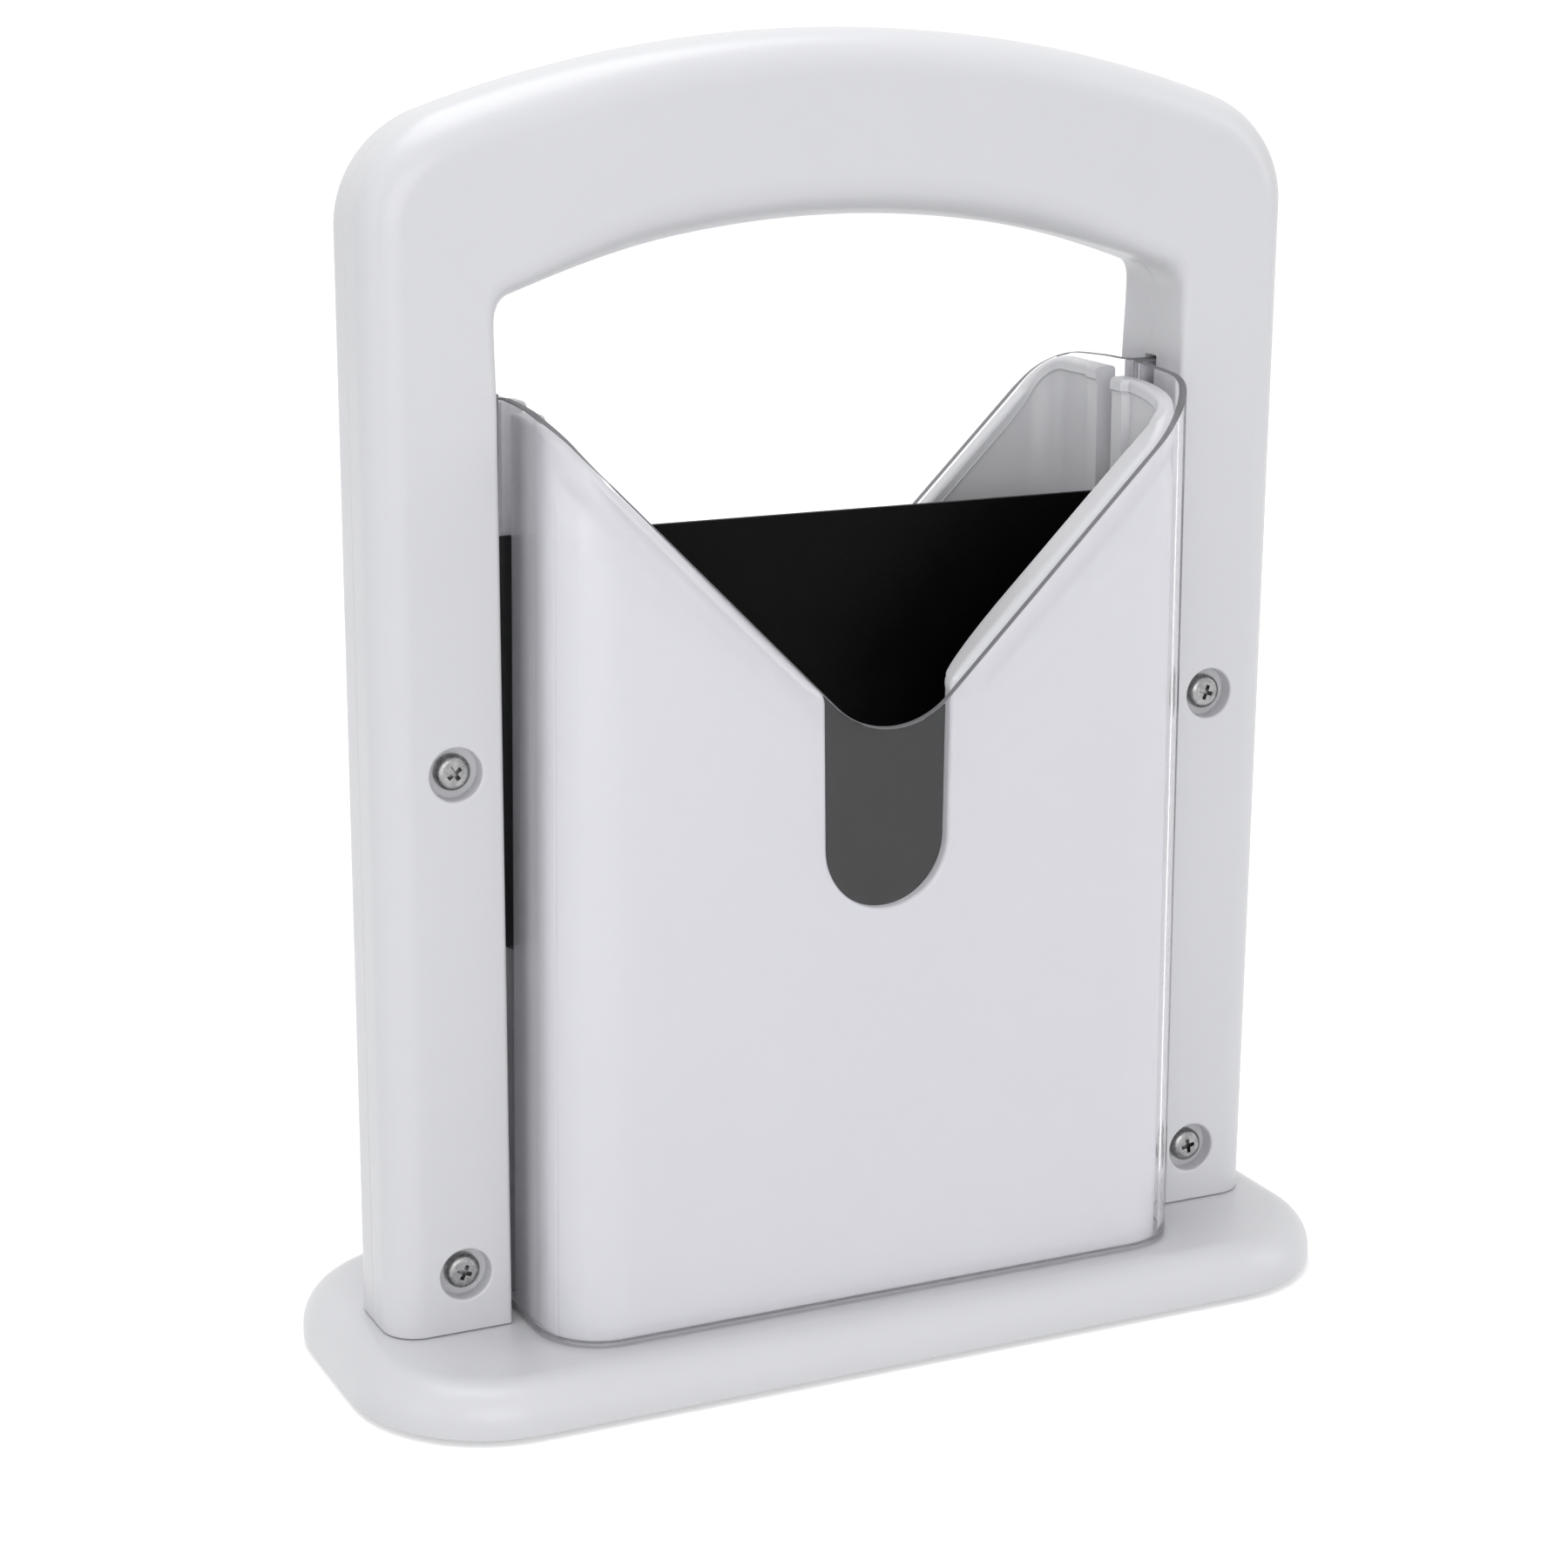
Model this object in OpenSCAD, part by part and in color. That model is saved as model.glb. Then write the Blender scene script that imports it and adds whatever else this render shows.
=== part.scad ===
// Bagel guillotine slicer: a drafted two-shell holder on a flat base, and a lift-off
// handle that carries the blade between two clear shields.
// Axes: X across the handle, Y from front to back, Z up. The origin is under the middle
// of the base, on the worktop. All sizes are millimetres.

/* [Handle] */
// Overall width across the two legs
handle_w = 178; // [165:1:214]
// Thickness from front to back, both halves together
handle_t = 22; // [19:0.5:26]
// Width of one leg
leg_w = 22.4; // [20:0.2:27]
// Room for the fingers between the shells' tops and the grip
finger_room = 28.9; // [24:0.5:40]
// Depth of the grip at its middle, from its underside to its top
grip_depth = 31.7; // [26:0.1:38]
// Radius of the arched top of the grip
top_arc_r = 232; // [190:1:300]
// Radius of the arched underside of the grip
under_arc_r = 187.5; // [150:0.5:260]
// Radius of the outer shoulders of the handle
shoulder_r = 20.5; // [14:0.5:24]
// Radius of the inner corners under the grip
inner_corner_r = 5; // [3:0.5:8]
// Edge rounding along the grip, which the palm feels
grip_round = 8; // [5:0.5:9]
// Edge rounding down the outside of the legs
leg_round = 6.5; // [3:0.5:8]
// Edge rounding down the inside of the legs
leg_inner_round = 0.8; // [0.4:0.1:2]

/* [Handle screws] */
// Distance of the screws from the inner face of the leg
screw_inset = 8.6; // [7:0.1:10]
// Height of the lower pair of screws above the base
lower_screw_h = 11; // [9:0.5:30]
// Height of the upper pair of screws above the blade's ears
upper_screw_h = 32.5; // [20:0.5:45]
// Diameter of the recess that the screw head sits in
counterbore_d = 9.5; // [7.5:0.1:10]
// Depth of the recess that the screw head sits in
counterbore_depth = 3.2; // [2.4:0.1:4]
// Diameter of the screw head
head_d = 6.4; // [5:0.1:7]
// Height of the screw head
head_h = 2.2; // [1.6:0.1:2.3]
// Diameter of the screw shank
shank_d = 3; // [2.5:0.1:3.5]
// Length of a handle screw under its head
handle_screw_l = 14; // [12:0.5:15]

/* [Holder shells] */
// Height of the shells above the base
shell_h = 165; // [138:0.2:198]
// Distance of a shell's outer face from the blade plane, at its foot
shell_face_y = 26.2; // [22:0.2:32]
// Corner radius of a shell, seen from above
shell_corner_r = 10.4; // [8.6:0.2:13]
// Wall thickness of a shell
shell_wall = 2.5; // [2:0.1:3]
// Draft of the shells and shields, so that they lift apart, in degrees
draft = 0.6; // [0.4:0.1:0.8]
// Depth of the mouth, from the shells' tops to where its two slopes would meet
mouth_depth = 65.4; // [55:0.2:70]
// Radius where the front mouth's slopes turn into the top
mouth_shoulder_r = 40; // [30:1:44]
// Radius where the rear mouth's slopes turn into the top
rear_shoulder_r = 30; // [20:1:36]
// How much less deep the rear mouth is
rear_mouth_rise = 5.2; // [0:0.2:8]
// Distance by which the rolled lip's back edge clears the centres of the corner radii
lip_setback = 1.05; // [0.8:0.05:2]
// Height of the bead that stands out around the mouth
bead_h = 0.35; // [0.2:0.05:0.35]
// Width of that bead
bead_w = 9; // [7:0.5:10]
// Half width of the finger slot
slot_half_w = 12; // [9:0.5:13]
// How much wider each side of the finger slot is at its top
slot_flare = 0.3; // [0.2:0.1:1]
// Depth of the finger slot below the meeting point of the mouth's slopes
slot_depth = 26; // [20:0.5:40]
// Gap between the two shells, which the blade and the shields' flanges run in
blade_gap = 5.6; // [5:0.1:8]
// Thickness of the shells' jambs beside that gap
jamb_t = 3.8; // [3:0.1:5]

/* [Clear shields] */
// Thickness of the clear sheet
shield_t = 1.4; // [1:0.1:1.7]
// Clearance between a shield and the shell that it covers
shield_clearance = 0.8; // [0.7:0.1:1]
// Gap between a shield and the leg beside it
leg_clearance = 2.1; // [1.5:0.1:4]
// How far a shield's mouth stands above the shell's mouth
shield_rise = 0.6; // [0.3:0.1:1]
// Radius at the bottom of a shield's mouth
shield_mouth_r = 14.5; // [10:0.5:18]

/* [Blade] */
// Thickness of the blade
blade_t = 1; // [0.8:0.1:1.2]
// How far the blade's straight back edge lies below the shells' tops
blade_drop = 24.1; // [15:0.5:35]
// Height of the ears that the handle clamps
ear_h = 70.9; // [55:0.1:80]
// Gap between the end of the blade's body and the outside of the shells
blade_end_gap = 3; // [2:0.1:6]
// How far the cutting edge rises from its middle to its ends
edge_rise = 15; // [8:1:25]
// Spacing of the teeth
tooth_pitch = 4; // [3:0.5:6]
// Depth of the teeth
tooth_depth = 1.4; // [0.8:0.1:2]
// Height of the ground bevel above the teeth
bevel_h = 4; // [3:0.5:6]

/* [Base] */
// Height of the top of the base above the worktop
base_top_z = 10; // [9:0.5:12]
// How far the base stands out beyond the handle at each side
base_side_margin = 8.4; // [6:0.2:14]
// How far the base stands out beyond the foot of each shell
base_front_margin = 12; // [10:0.5:20]
// Corner radius of the base, seen from above
base_corner_r = 26; // [18:1:32]
// Rounding of the base's top edge
base_edge_r = 7; // [4:0.5:7.5]
// Thickness of the base's top skin
base_skin = 3.4; // [3:0.1:4]
// Thickness of the base's rim at the bottom and of its ribs
base_rib = 2.2; // [1.8:0.1:3]
// Diameter of a rubber foot
foot_d = 12; // [9:0.5:14]
// How far a rubber foot stands below the base
foot_show = 1; // [0.6:0.1:2]
// Depth of the groove that the cutting edge drops into
groove_depth = 2.2; // [1.6:0.1:2.4]

/* [Hidden] */

$fn = 48;
white = [0.83, 0.83, 0.85];
black = [0.06, 0.06, 0.065];
clear = [0.8, 0.88, 0.92, 0.4];
steel = [0.72, 0.73, 0.75];
rubber = [0.2, 0.2, 0.21];

// Clearances between pieces that move past each other or are screwed together.
foot_gap = 0.3;          // under the legs, where the handle comes to rest
pocket_play = 0.1;       // around the flanges clamped in the legs
shank_play = 0.3;        // around a screw where it passes through a piece
pilot_play = 0.05;       // around a screw where it bites
edge_clearance = 1;      // between the teeth and the floor of the groove
overrun = 1;             // how far a cutter runs past the face it cuts

// Heights, stacked up from the base.
shell_top_z = base_top_z + shell_h;
mouth_apex_z = shell_top_z - mouth_depth;
rear_apex_z = mouth_apex_z + rear_mouth_rise;
slot_bottom_z = mouth_apex_z - slot_depth;
shield_top_z = shell_top_z + shield_rise;
shield_bottom_z = base_top_z + 1;
grip_under_z = shell_top_z + finger_room;
grip_top_z = grip_under_z + grip_depth;
blade_top_z = shell_top_z - blade_drop;
ear_bottom_z = blade_top_z - ear_h;
upper_screw_z = ear_bottom_z + upper_screw_h;
lower_screw_z = base_top_z + lower_screw_h;

// Handle, worked out from its driving sizes.
foot_z = base_top_z + foot_gap;
half_w = handle_w / 2;
inner_x = half_w - leg_w;
half_t = handle_t / 2;
screw_x = inner_x + screw_inset;
top_arc_z = grip_top_z - top_arc_r;
shoulder_x = half_w - shoulder_r;
shoulder_z = top_arc_z + sqrt(pow(top_arc_r - shoulder_r, 2) - pow(shoulder_x, 2));
under_arc_z = grip_under_z - under_arc_r;
inner_corner_x = inner_x - inner_corner_r;
inner_corner_z = under_arc_z + sqrt(pow(under_arc_r - inner_corner_r, 2) - pow(inner_corner_x, 2));
round_fade = 16;         // length of leg over which the grip's rounding dies out

// Shells and shields share one drafted outline, seen from above, which stands inside the legs.
shield_face = shield_clearance + shield_t;
shell_half_w = inner_x - leg_clearance - shield_face;
draft_slope = tan(draft);
gap_half = blade_gap / 2;
front_run = shell_half_w - shell_corner_r;
corner_steps = 9;        // in which a mouth's slope is drawn where it goes round a corner
corner_run = shell_corner_r * PI / 2;
slot_centre_z = slot_bottom_z + slot_half_w;
junction_r = 4;          // where the mouth turns down into the finger slot
lip_run_out = 13;        // stretch of the slope over which the lip runs out into the slot
junction_lip = 0.3;      // share of the lip that is left at the slot's corner
roll_r = 3.4;            // outer radius of the rolled lip
rim_roll_r = 1.8;        // the same along the end walls
edge_roll_r = 0.8;       // outer radius of the plain edge round the finger slot
plain_w = 1.6;           // width of that plain edge's face
lip_t = 2.2;             // thickness of the lip
tip_round = 1;           // rounding of the lip's back edge
tip_turn_r = 2.5;        // radius at which that edge turns onto the end wall, seen from above
rim_depth = 0.8;         // how far the rim stands in from the wall where there is no lip
inner_fillet = 1;        // under the lip
jamb_depth = 4.4;        // of the thicker jambs, along the end wall
jamb_step = 0.8;         // over which the end wall thickens
flange_out_y = blade_t / 2 + shield_t;
flange_reach = screw_x + 7.5;
blade_half_w = shell_half_w - blade_end_gap;

// Bosses that the base screws bite into, joined to the shells' rounded corners.
boss_r = 4.6;
boss_h = 14;
boss_bite = 0.7;         // how far a boss runs into the wall
boss_relief = 0.2;       // under a boss, so that the shell's rim bears on the base first
boss_shift = (shell_corner_r - shell_wall + boss_bite - boss_r) * sqrt(0.5);
boss_x = front_run + boss_shift;
boss_y = shell_face_y - shell_corner_r + boss_shift;
base_screw_l = 14;

// Base.
base_w = handle_w + 2 * base_side_margin;
base_d = 2 * (shell_face_y + base_front_margin);
base_bottom_z = foot_show;
groove_z = base_top_z - groove_depth;
edge_low_z = groove_z + edge_clearance;
foot_sink = 1.6;
foot_x = base_w / 2 - 19;
foot_y = base_d / 2 - 13;
screw_floor_z = base_top_z - base_skin - 1.2;
pilot_depth = base_screw_l - (base_top_z - screw_floor_z) + 1;

function mix(a, b, t) = a + (b - a) * t;
function ease(t) = let (c = min(1, max(0, t))) c * c * (3 - 2 * c);
function span(a, b, n) = [for (i = [0 : n]) mix(a, b, i / n)];
function flip_x(p) = [for (i = [len(p) - 1 : -1 : 0]) [-p[i][0], p[i][1], -p[i][2], p[i][3], p[i][4]]];
function tail(p, from) = [for (i = [from : len(p) - 1]) p[i]];
function both_sides(right) = concat(flip_x(tail(right, 1)), right);

// ---------------------------------------------------------------- handle

// One half of the handle's outline, from the top of the grip out and down to the foot,
// then up the inside of the leg to the middle of the grip's underside. Each entry is
// [x, z, normal x, normal z, edge rounding].
function outer_outline() =
    let (meet = atan2(shoulder_x, shoulder_z - top_arc_z))
    concat(
        [for (a = span(0, meet, 8))
            [top_arc_r * sin(a), top_arc_z + top_arc_r * cos(a), sin(a), cos(a), grip_round]],
        [for (a = tail(span(meet, 90, 10), 1))
            [shoulder_x + shoulder_r * sin(a), shoulder_z + shoulder_r * cos(a), sin(a), cos(a),
             mix(grip_round, leg_round, ease((a - meet) / (90 - meet)))]],
        [[half_w, foot_z, 1, 0, leg_round]]);

// The leg's crisp inner edge stays crisp up to the corner, and rounds off under the grip.
function inner_outline() =
    let (meet = atan2(inner_corner_x, inner_corner_z - under_arc_z),
         leg_end = mix(leg_inner_round, grip_round, 0.15),
         grip_start = mix(leg_inner_round, grip_round, 0.5))
    concat(
        [[inner_x, foot_z, -1, 0, leg_inner_round]],
        [for (t = span(1, 0.2, 4))
            [inner_x, inner_corner_z - t * round_fade, -1, 0, mix(leg_end, leg_inner_round, ease(t))]],
        [for (a = span(90, meet, 5))
            [inner_corner_x + inner_corner_r * sin(a), inner_corner_z + inner_corner_r * cos(a),
             -sin(a), -cos(a), mix(leg_end, grip_start, ease((90 - a) / (90 - meet)))]],
        [for (a = tail(span(meet, 0, 8), 1))
            [under_arc_r * sin(a), under_arc_z + under_arc_r * cos(a), -sin(a), -cos(a),
             mix(grip_start, grip_round, ease(2 * (meet - a) / meet))]]);

function handle_outline() =
    let (right = concat(outer_outline(), inner_outline()), left = flip_x(right))
    concat(right, [for (i = [1 : len(left) - 2]) left[i]]);

// A flat-backed solid with a rounded front edge: the outline is repeated in layers that
// draw in by each point's own rounding on the way to the front face.
module rounded_half(outline) {
    n = len(outline);
    layers = concat(
        [[for (p = outline) [p[0], 0, p[1]]]],
        [for (f = span(0, 90, 6)) [for (p = outline)
            [p[0] - p[2] * p[4] * (1 - cos(f)), -(half_t - p[4] + p[4] * sin(f)),
             p[1] - p[3] * p[4] * (1 - cos(f))]]]);
    last = len(layers) - 1;
    walls = [for (k = [0 : last - 1]) for (i = [0 : n - 1])
        let (a = k * n + i, b = k * n + (i + 1) % n) each [[a, b, a + n], [b, b + n, a + n]]];
    half = n / 2;
    cap = [for (i = [0 : half / 2 - 1])
        each [[i, i + 1, half - i - 1, half - i], [half + i, half + i + 1, n - i - 1, (n - i) % n]]];
    polyhedron(
        points = [for (l = layers) each l],
        faces = concat(walls, [for (f = cap) [f[3], f[2], f[1], f[0]]],
                       [for (f = cap) [for (i = f) last * n + i]]));
}

module at_handle_screws() {
    for (x = [-screw_x, screw_x], z = [lower_screw_z, upper_screw_z])
        translate([x, 0, z]) children();
}

// A cylinder along Y from one depth to another.
module along_y(d, from, to) {
    translate([0, from, 0]) rotate([-90, 0, 0]) cylinder(h = to - from, d = d);
}

// The space that the clamped flange and half the blade's thickness take in the legs.
module flange_pocket() {
    depth = flange_out_y + pocket_play / 2;
    reach = flange_reach + pocket_play;
    low = foot_z - overrun;
    for (s = [-1, 1])
        translate([s > 0 ? inner_x - overrun : -reach, -depth, low])
            cube([reach - inner_x + overrun, depth + overrun, shield_top_z + pocket_play - low]);
}

module handle_front() {
    color(white) difference() {
        rounded_half(handle_outline());
        flange_pocket();
        at_handle_screws() {
            along_y(counterbore_d, -half_t - overrun, -half_t + counterbore_depth);
            along_y(shank_d + 2 * shank_play, -half_t, overrun);
        }
    }
}

module handle_rear() {
    depth = handle_screw_l - half_t + counterbore_depth + 1;
    color(white) mirror([0, 1, 0]) difference() {
        rounded_half(handle_outline());
        flange_pocket();
        at_handle_screws() along_y(shank_d + 2 * pilot_play, -depth, overrun);
    }
}

// A pan-head screw with a cross recess and a point. Its head's underside is at the origin
// and its shank runs along +Z.
module screw(length) {
    point_l = 1.5;
    recess = 1.2;
    recess_w = 0.9;
    difference() {
        union() {
            cylinder(h = length - point_l, d = shank_d);
            translate([0, 0, length - point_l]) cylinder(h = point_l, d1 = shank_d, d2 = 0.8);
            intersection() {
                translate([0, 0, -head_h]) cylinder(h = head_h, d = head_d);
                translate([0, 0, head_d - head_h]) sphere(r = head_d);
            }
        }
        for (a = [0, 90]) rotate(a)
            translate([-head_d * 0.27, -recess_w / 2, -head_h - overrun])
                cube([head_d * 0.54, recess_w, overrun + recess]);
    }
}

module handle_screws() {
    color(steel) at_handle_screws()
        translate([0, -half_t + counterbore_depth, 0]) rotate([-90, 0, 0]) screw(handle_screw_l);
}

// ---------------------------------------------------------------- shells

// How far round its corner the outline has turned, in degrees, at a distance run along it
// from the middle of the front face.
function corner_angle(run) = min(90, max(0, (abs(run) - front_run) / shell_corner_r * 180 / PI));

// Radius of the outline's corner at a height, drawn in by the draft.
function corner_r(z) = shell_corner_r - draft_slope * (z - base_top_z);

// A point of the drafted wall. inset goes inwards from the outer face.
function wall_point(run, z, inset) =
    let (s = run < 0 ? -1 : 1, r = abs(run), a = corner_angle(run), radius = corner_r(z) - inset,
         past = max(0, r - front_run - corner_run))
    [s * (min(r, front_run) + radius * sin(a)),
     shell_corner_r - shell_face_y - radius * cos(a) + past, z];

function run_to(y) = front_run + corner_run + shell_face_y - shell_corner_r - y;

// Where the rolled lip's back edge lies. It runs in one upright plane across the front, and
// turns at the corner to carry on along the end wall as a narrow rim.
function tip_point(run, z) =
    let (r = abs(run), past = r - front_run, radius = corner_r(z),
         reach = radius - wall_at(run) - rim_depth - tip_turn_r,
         turn_from = shell_corner_r * asin(reach / radius) * PI / 180,
         turn_to = corner_run - lip_setback + tip_turn_r,
         turn = 90 * min(1, max(0, (past - turn_from) / (turn_to - turn_from))),
         x = past < turn_from ? min(r, front_run) + radius * sin(corner_angle(run))
                              : front_run + reach + tip_turn_r * sin(turn),
         y = shell_corner_r - shell_face_y - lip_setback + tip_turn_r * (1 - cos(turn)))
    [run < 0 ? -x : x, y + max(0, past - turn_to), z];

// Thickness of the wall, which steps up to the jamb beside the blade gap.
function wall_at(run) = abs(run) > run_to(gap_half + jamb_depth) + jamb_step / 2 ? jamb_t : shell_wall;

// Where the arc between the mouth's 45 degree slope and the top reaches the top.
function shoulder_run(top, apex, r) = (sqrt(2) - 1) * r + top - apex;

// From the end of a mouth's slope round to the blade gap, as [run, z, normal run, normal z,
// lip size], with the normal pointing into the sheet.
function shoulder_edge(top, apex, r, end) =
    let (c = shoulder_run(top, apex, r), jamb_run = end - jamb_depth)
    [for (run = concat(span(c - r * sin(45), jamb_run, 11), [jamb_run + jamb_step, end]))
        let (sine = max(0, c - run) / r, cosine = sqrt(1 - sine * sine))
        [run, top - r + r * cosine, sine, -cosine, 1]];

// Runs along a mouth's slope: even steps across the front, and closer ones where the slope
// goes on round the corner.
function slope_runs(first, last, steps) =
    concat([for (run = tail(span(first, last, steps), 1)) if (run < front_run) run],
           [for (k = [1 : corner_steps - 1])
               let (run = front_run + corner_run * k / corner_steps) if (run > first && run < last) run],
           [last]);

// Right half of the shell's edge: the finger slot's round bottom and side, the corner where
// the mouth's slope turns down into it, the slope, and the shoulder.
function shell_edge(apex, r) =
    let (shoulder = shoulder_edge(shell_top_z, apex, r, run_to(gap_half)),
         cx = slot_half_w + slot_flare + junction_r,
         cz = apex + cx - sqrt(2) * junction_r,
         start = [cx - junction_r * sin(45), cz + junction_r * cos(45)])
    concat(
        [for (a = span(-90, 0, 8))
            [slot_half_w * cos(a), slot_centre_z + slot_half_w * sin(a), cos(a), sin(a), 0]],
        [for (a = span(90, 45, 4))
            [cx - junction_r * sin(a), cz + junction_r * cos(a), sin(a), -cos(a),
             junction_lip * (90 - a) / 45]],
        [for (b = tail(span(0, 90, 7), 1)) let (along = lip_run_out * (1 - cos(b)))
            [start[0] + along, start[1] + along, sin(45), -sin(45), mix(junction_lip, 1, sin(b))]],
        [for (run = slope_runs(start[0] + lip_run_out, shoulder[0][0], 3))
            [run, start[1] + run - start[0], sin(45), -sin(45), 1]],
        tail(shoulder, 1));

// Section of the shell's edge at one entry of its outline: the bead, the roll, the lip's top
// and back edge, its underside and the fillet to the wall.
function lip_section(e) =
    let (size = e[4], wall = wall_at(e[0]),
         r = mix(edge_roll_r, mix(roll_r, rim_roll_r, corner_angle(e[0]) / 90), size),
         w = mix(plain_w, bead_w, size))
    let (at = function(d, inset) wall_point(e[0] + e[2] * d, e[1] + e[3] * d, inset),
         bead = function(d) bead_h * size * (1 - cos(360 * d / w)) / 2,
         tip = function(d, pull)
             let (back = mix(at(d, wall + rim_depth), tip_point(e[0] + e[2] * d, e[1] + e[3] * d), size),
                  rolled = at(d, r))
             mix(back, rolled, pull * tip_round / norm(back - rolled)))
    concat(
        [for (d = span(w, r, 4)) at(d, -bead(d))],
        [for (a = tail(span(0, 90, 4), 1)) let (d = r * (1 - sin(a))) at(d, r * (1 - cos(a)) - bead(d))],
        [tip(0, 1), tip(0.3 * tip_round, 0.3), tip(tip_round, 0), tip(lip_t, 0),
         at(lip_t, wall + inner_fillet * 0.6), at(lip_t + inner_fillet, wall)]);

// The foot of each line down the wall spreads a little beside the finger slot, where the
// lines would otherwise fall on each other.
function foot_run(run, z) =
    let (r = abs(run), lean = 0.06 * max(0, z - slot_centre_z) * (1 - min(1, max(0, r - 13) / 27)))
    run + (run < 0 ? -lean : lean);

function shell_column(e) =
    let (out = mix(plain_w, bead_w, e[4]), inn = lip_t + inner_fillet)
    concat(
        [wall_point(foot_run(e[0] + e[2] * out, e[1] + e[3] * out), base_top_z, 0)],
        lip_section(e),
        [wall_point(foot_run(e[0] + e[2] * inn, e[1] + e[3] * inn), base_top_z, wall_at(e[0]))]);

// The section's end face as convex pieces: the wall, the roll and the lip's tip.
function lip_cap() = concat([[0, 1, 15, 16]], [for (i = [1 : 11]) [i, i + 1, 15]], [[12, 13, 14], [12, 14, 15]]);

// Joins columns of points, all of one length and each a closed section, into a solid. cap
// splits a section that isn't convex.
module skin(columns, cap = undef) {
    n = len(columns);
    m = len(columns[0]);
    ends = is_undef(cap) ? [[for (j = [0 : m - 1]) j]] : cap;
    sides = [for (i = [0 : n - 2]) for (j = [0 : m - 1])
        let (a = i * m + j, b = i * m + (j + 1) % m) each [[a, b, a + m], [b, b + m, a + m]]];
    polyhedron(
        points = [for (c = columns) each c],
        faces = concat([for (f = ends) [for (k = [len(f) - 1 : -1 : 0]) f[k]]], sides,
                       [for (f = ends) [for (j = f) (n - 1) * m + j]]));
}

module at_bosses() {
    for (x = [-boss_x, boss_x]) translate([x, -boss_y, 0]) children();
}

module shell(apex, r) {
    skin([for (e = both_sides(shell_edge(apex, r))) shell_column(e)], lip_cap());
    at_bosses() translate([0, 0, base_top_z]) difference() {
        translate([0, 0, boss_relief]) cylinder(h = boss_h - boss_relief, r = boss_r);
        cylinder(h = pilot_depth, d = shank_d + 2 * pilot_play);
    }
}

module front_shell() { color(white) shell(mouth_apex_z, mouth_shoulder_r); }
module rear_shell() { color(white) mirror([0, 1, 0]) shell(rear_apex_z, rear_shoulder_r); }

// ---------------------------------------------------------------- shields

// Right half of a shield's mouth: a round bottom, the slope and the shoulder, whose radius is
// limited by the end of the wall.
function shield_edge(apex, shoulder_r) =
    let (r = shield_mouth_r, centre = apex + sqrt(2) * r, first = r * sin(45),
         end = run_to(blade_t / 2), widest = (end - shield_top_z + apex) / (sqrt(2) - 1),
         shoulder = shoulder_edge(shield_top_z, apex, min(shoulder_r, widest), end))
    concat(
        [for (a = span(0, 45, 6)) [r * sin(a), centre - r * cos(a), sin(a), -cos(a), 1]],
        [for (x = slope_runs(first, shoulder[0][0], 3)) [x, apex + x, sin(45), -sin(45), 1]],
        tail(shoulder, 1));

function shield_column(e) =
    let (chamfer = 0.3, low = e[1] + e[3] * chamfer, run = e[0] + e[2] * chamfer)
    [wall_point(run, shield_bottom_z, -shield_face),
     wall_point(run, low, -shield_face),
     wall_point(e[0], e[1], -shield_face + chamfer),
     wall_point(e[0], e[1], -shield_clearance - chamfer),
     wall_point(run, low, -shield_clearance),
     wall_point(run, shield_bottom_z, -shield_clearance)];

// The flat flange at each end of a shield, which the leg clamps against the blade.
module flange() {
    function inner(z) = wall_point(run_to(blade_t / 2), z, -shield_clearance)[0];
    translate([0, -blade_t / 2, 0]) rotate([90, 0, 0]) linear_extrude(shield_t)
        polygon([[inner(shield_bottom_z), shield_bottom_z], [flange_reach, shield_bottom_z],
                 [flange_reach, shield_top_z], [inner(shield_top_z), shield_top_z]]);
}

module shield(apex, shoulder_r) {
    difference() {
        union() {
            skin([for (e = both_sides(shield_edge(apex, shoulder_r))) shield_column(e)]);
            flange();
            mirror([1, 0, 0]) flange();
        }
        at_handle_screws() along_y(shank_d + 2 * shank_play, -half_t, overrun);
    }
}

module front_shield() { color(clear) shield(mouth_apex_z + shield_rise, mouth_shoulder_r); }
module rear_shield() {
    color(clear) mirror([0, 1, 0]) shield(rear_apex_z + shield_rise, rear_shoulder_r);
}

// ---------------------------------------------------------------- blade

function edge_z(x) = edge_low_z + tooth_depth + edge_rise * pow(x / blade_half_w, 2);

// The cutting edge as [x, z], a point and a gullet for every tooth.
function tooth_points() =
    let (n = floor(2 * blade_half_w / tooth_pitch), p = 2 * blade_half_w / n)
    concat(
        [for (i = [0 : n - 1]) let (x = -blade_half_w + i * p)
            each [[x, edge_z(x)], [x + p / 2, edge_z(x + p / 2) - tooth_depth]]],
        [[blade_half_w, edge_z(blade_half_w)]]);

// The flat of the blade: the body, and an ear at each end with a round inner corner below it
// and a bevelled lower corner in the leg.
module blade_flat() {
    ear_fillet = 4;
    top_bevel = 2;
    low_bevel = 6;
    body_low = edge_z(0) + bevel_h;
    points = concat(
        [[0, blade_top_z], [flange_reach - top_bevel, blade_top_z],
         [flange_reach, blade_top_z - top_bevel],
         [flange_reach, ear_bottom_z + low_bevel], [flange_reach - low_bevel, ear_bottom_z]],
        [for (a = span(90, 180, 6))
            [blade_half_w + ear_fillet + ear_fillet * cos(a), ear_bottom_z - ear_fillet + ear_fillet * sin(a)]],
        [for (t = span(1, 0, 16)) [blade_half_w * t, body_low + edge_rise * t * t]]);
    for (m = [0, 1]) mirror([m, 0, 0]) polygon(points);
}

// The ground bevel, from the blade's full thickness down to the thin tips of the teeth.
module cutting_edge() {
    tip_t = 0.16;
    lap = 1;
    skin([for (q = tooth_points())
        let (z = edge_z(q[0]) + bevel_h)
        [[q[0], -blade_t / 2, z + lap], [q[0], blade_t / 2, z + lap], [q[0], blade_t / 2, z],
         [q[0], tip_t / 2, q[1]], [q[0], -tip_t / 2, q[1]], [q[0], -blade_t / 2, z]]]);
}

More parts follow.
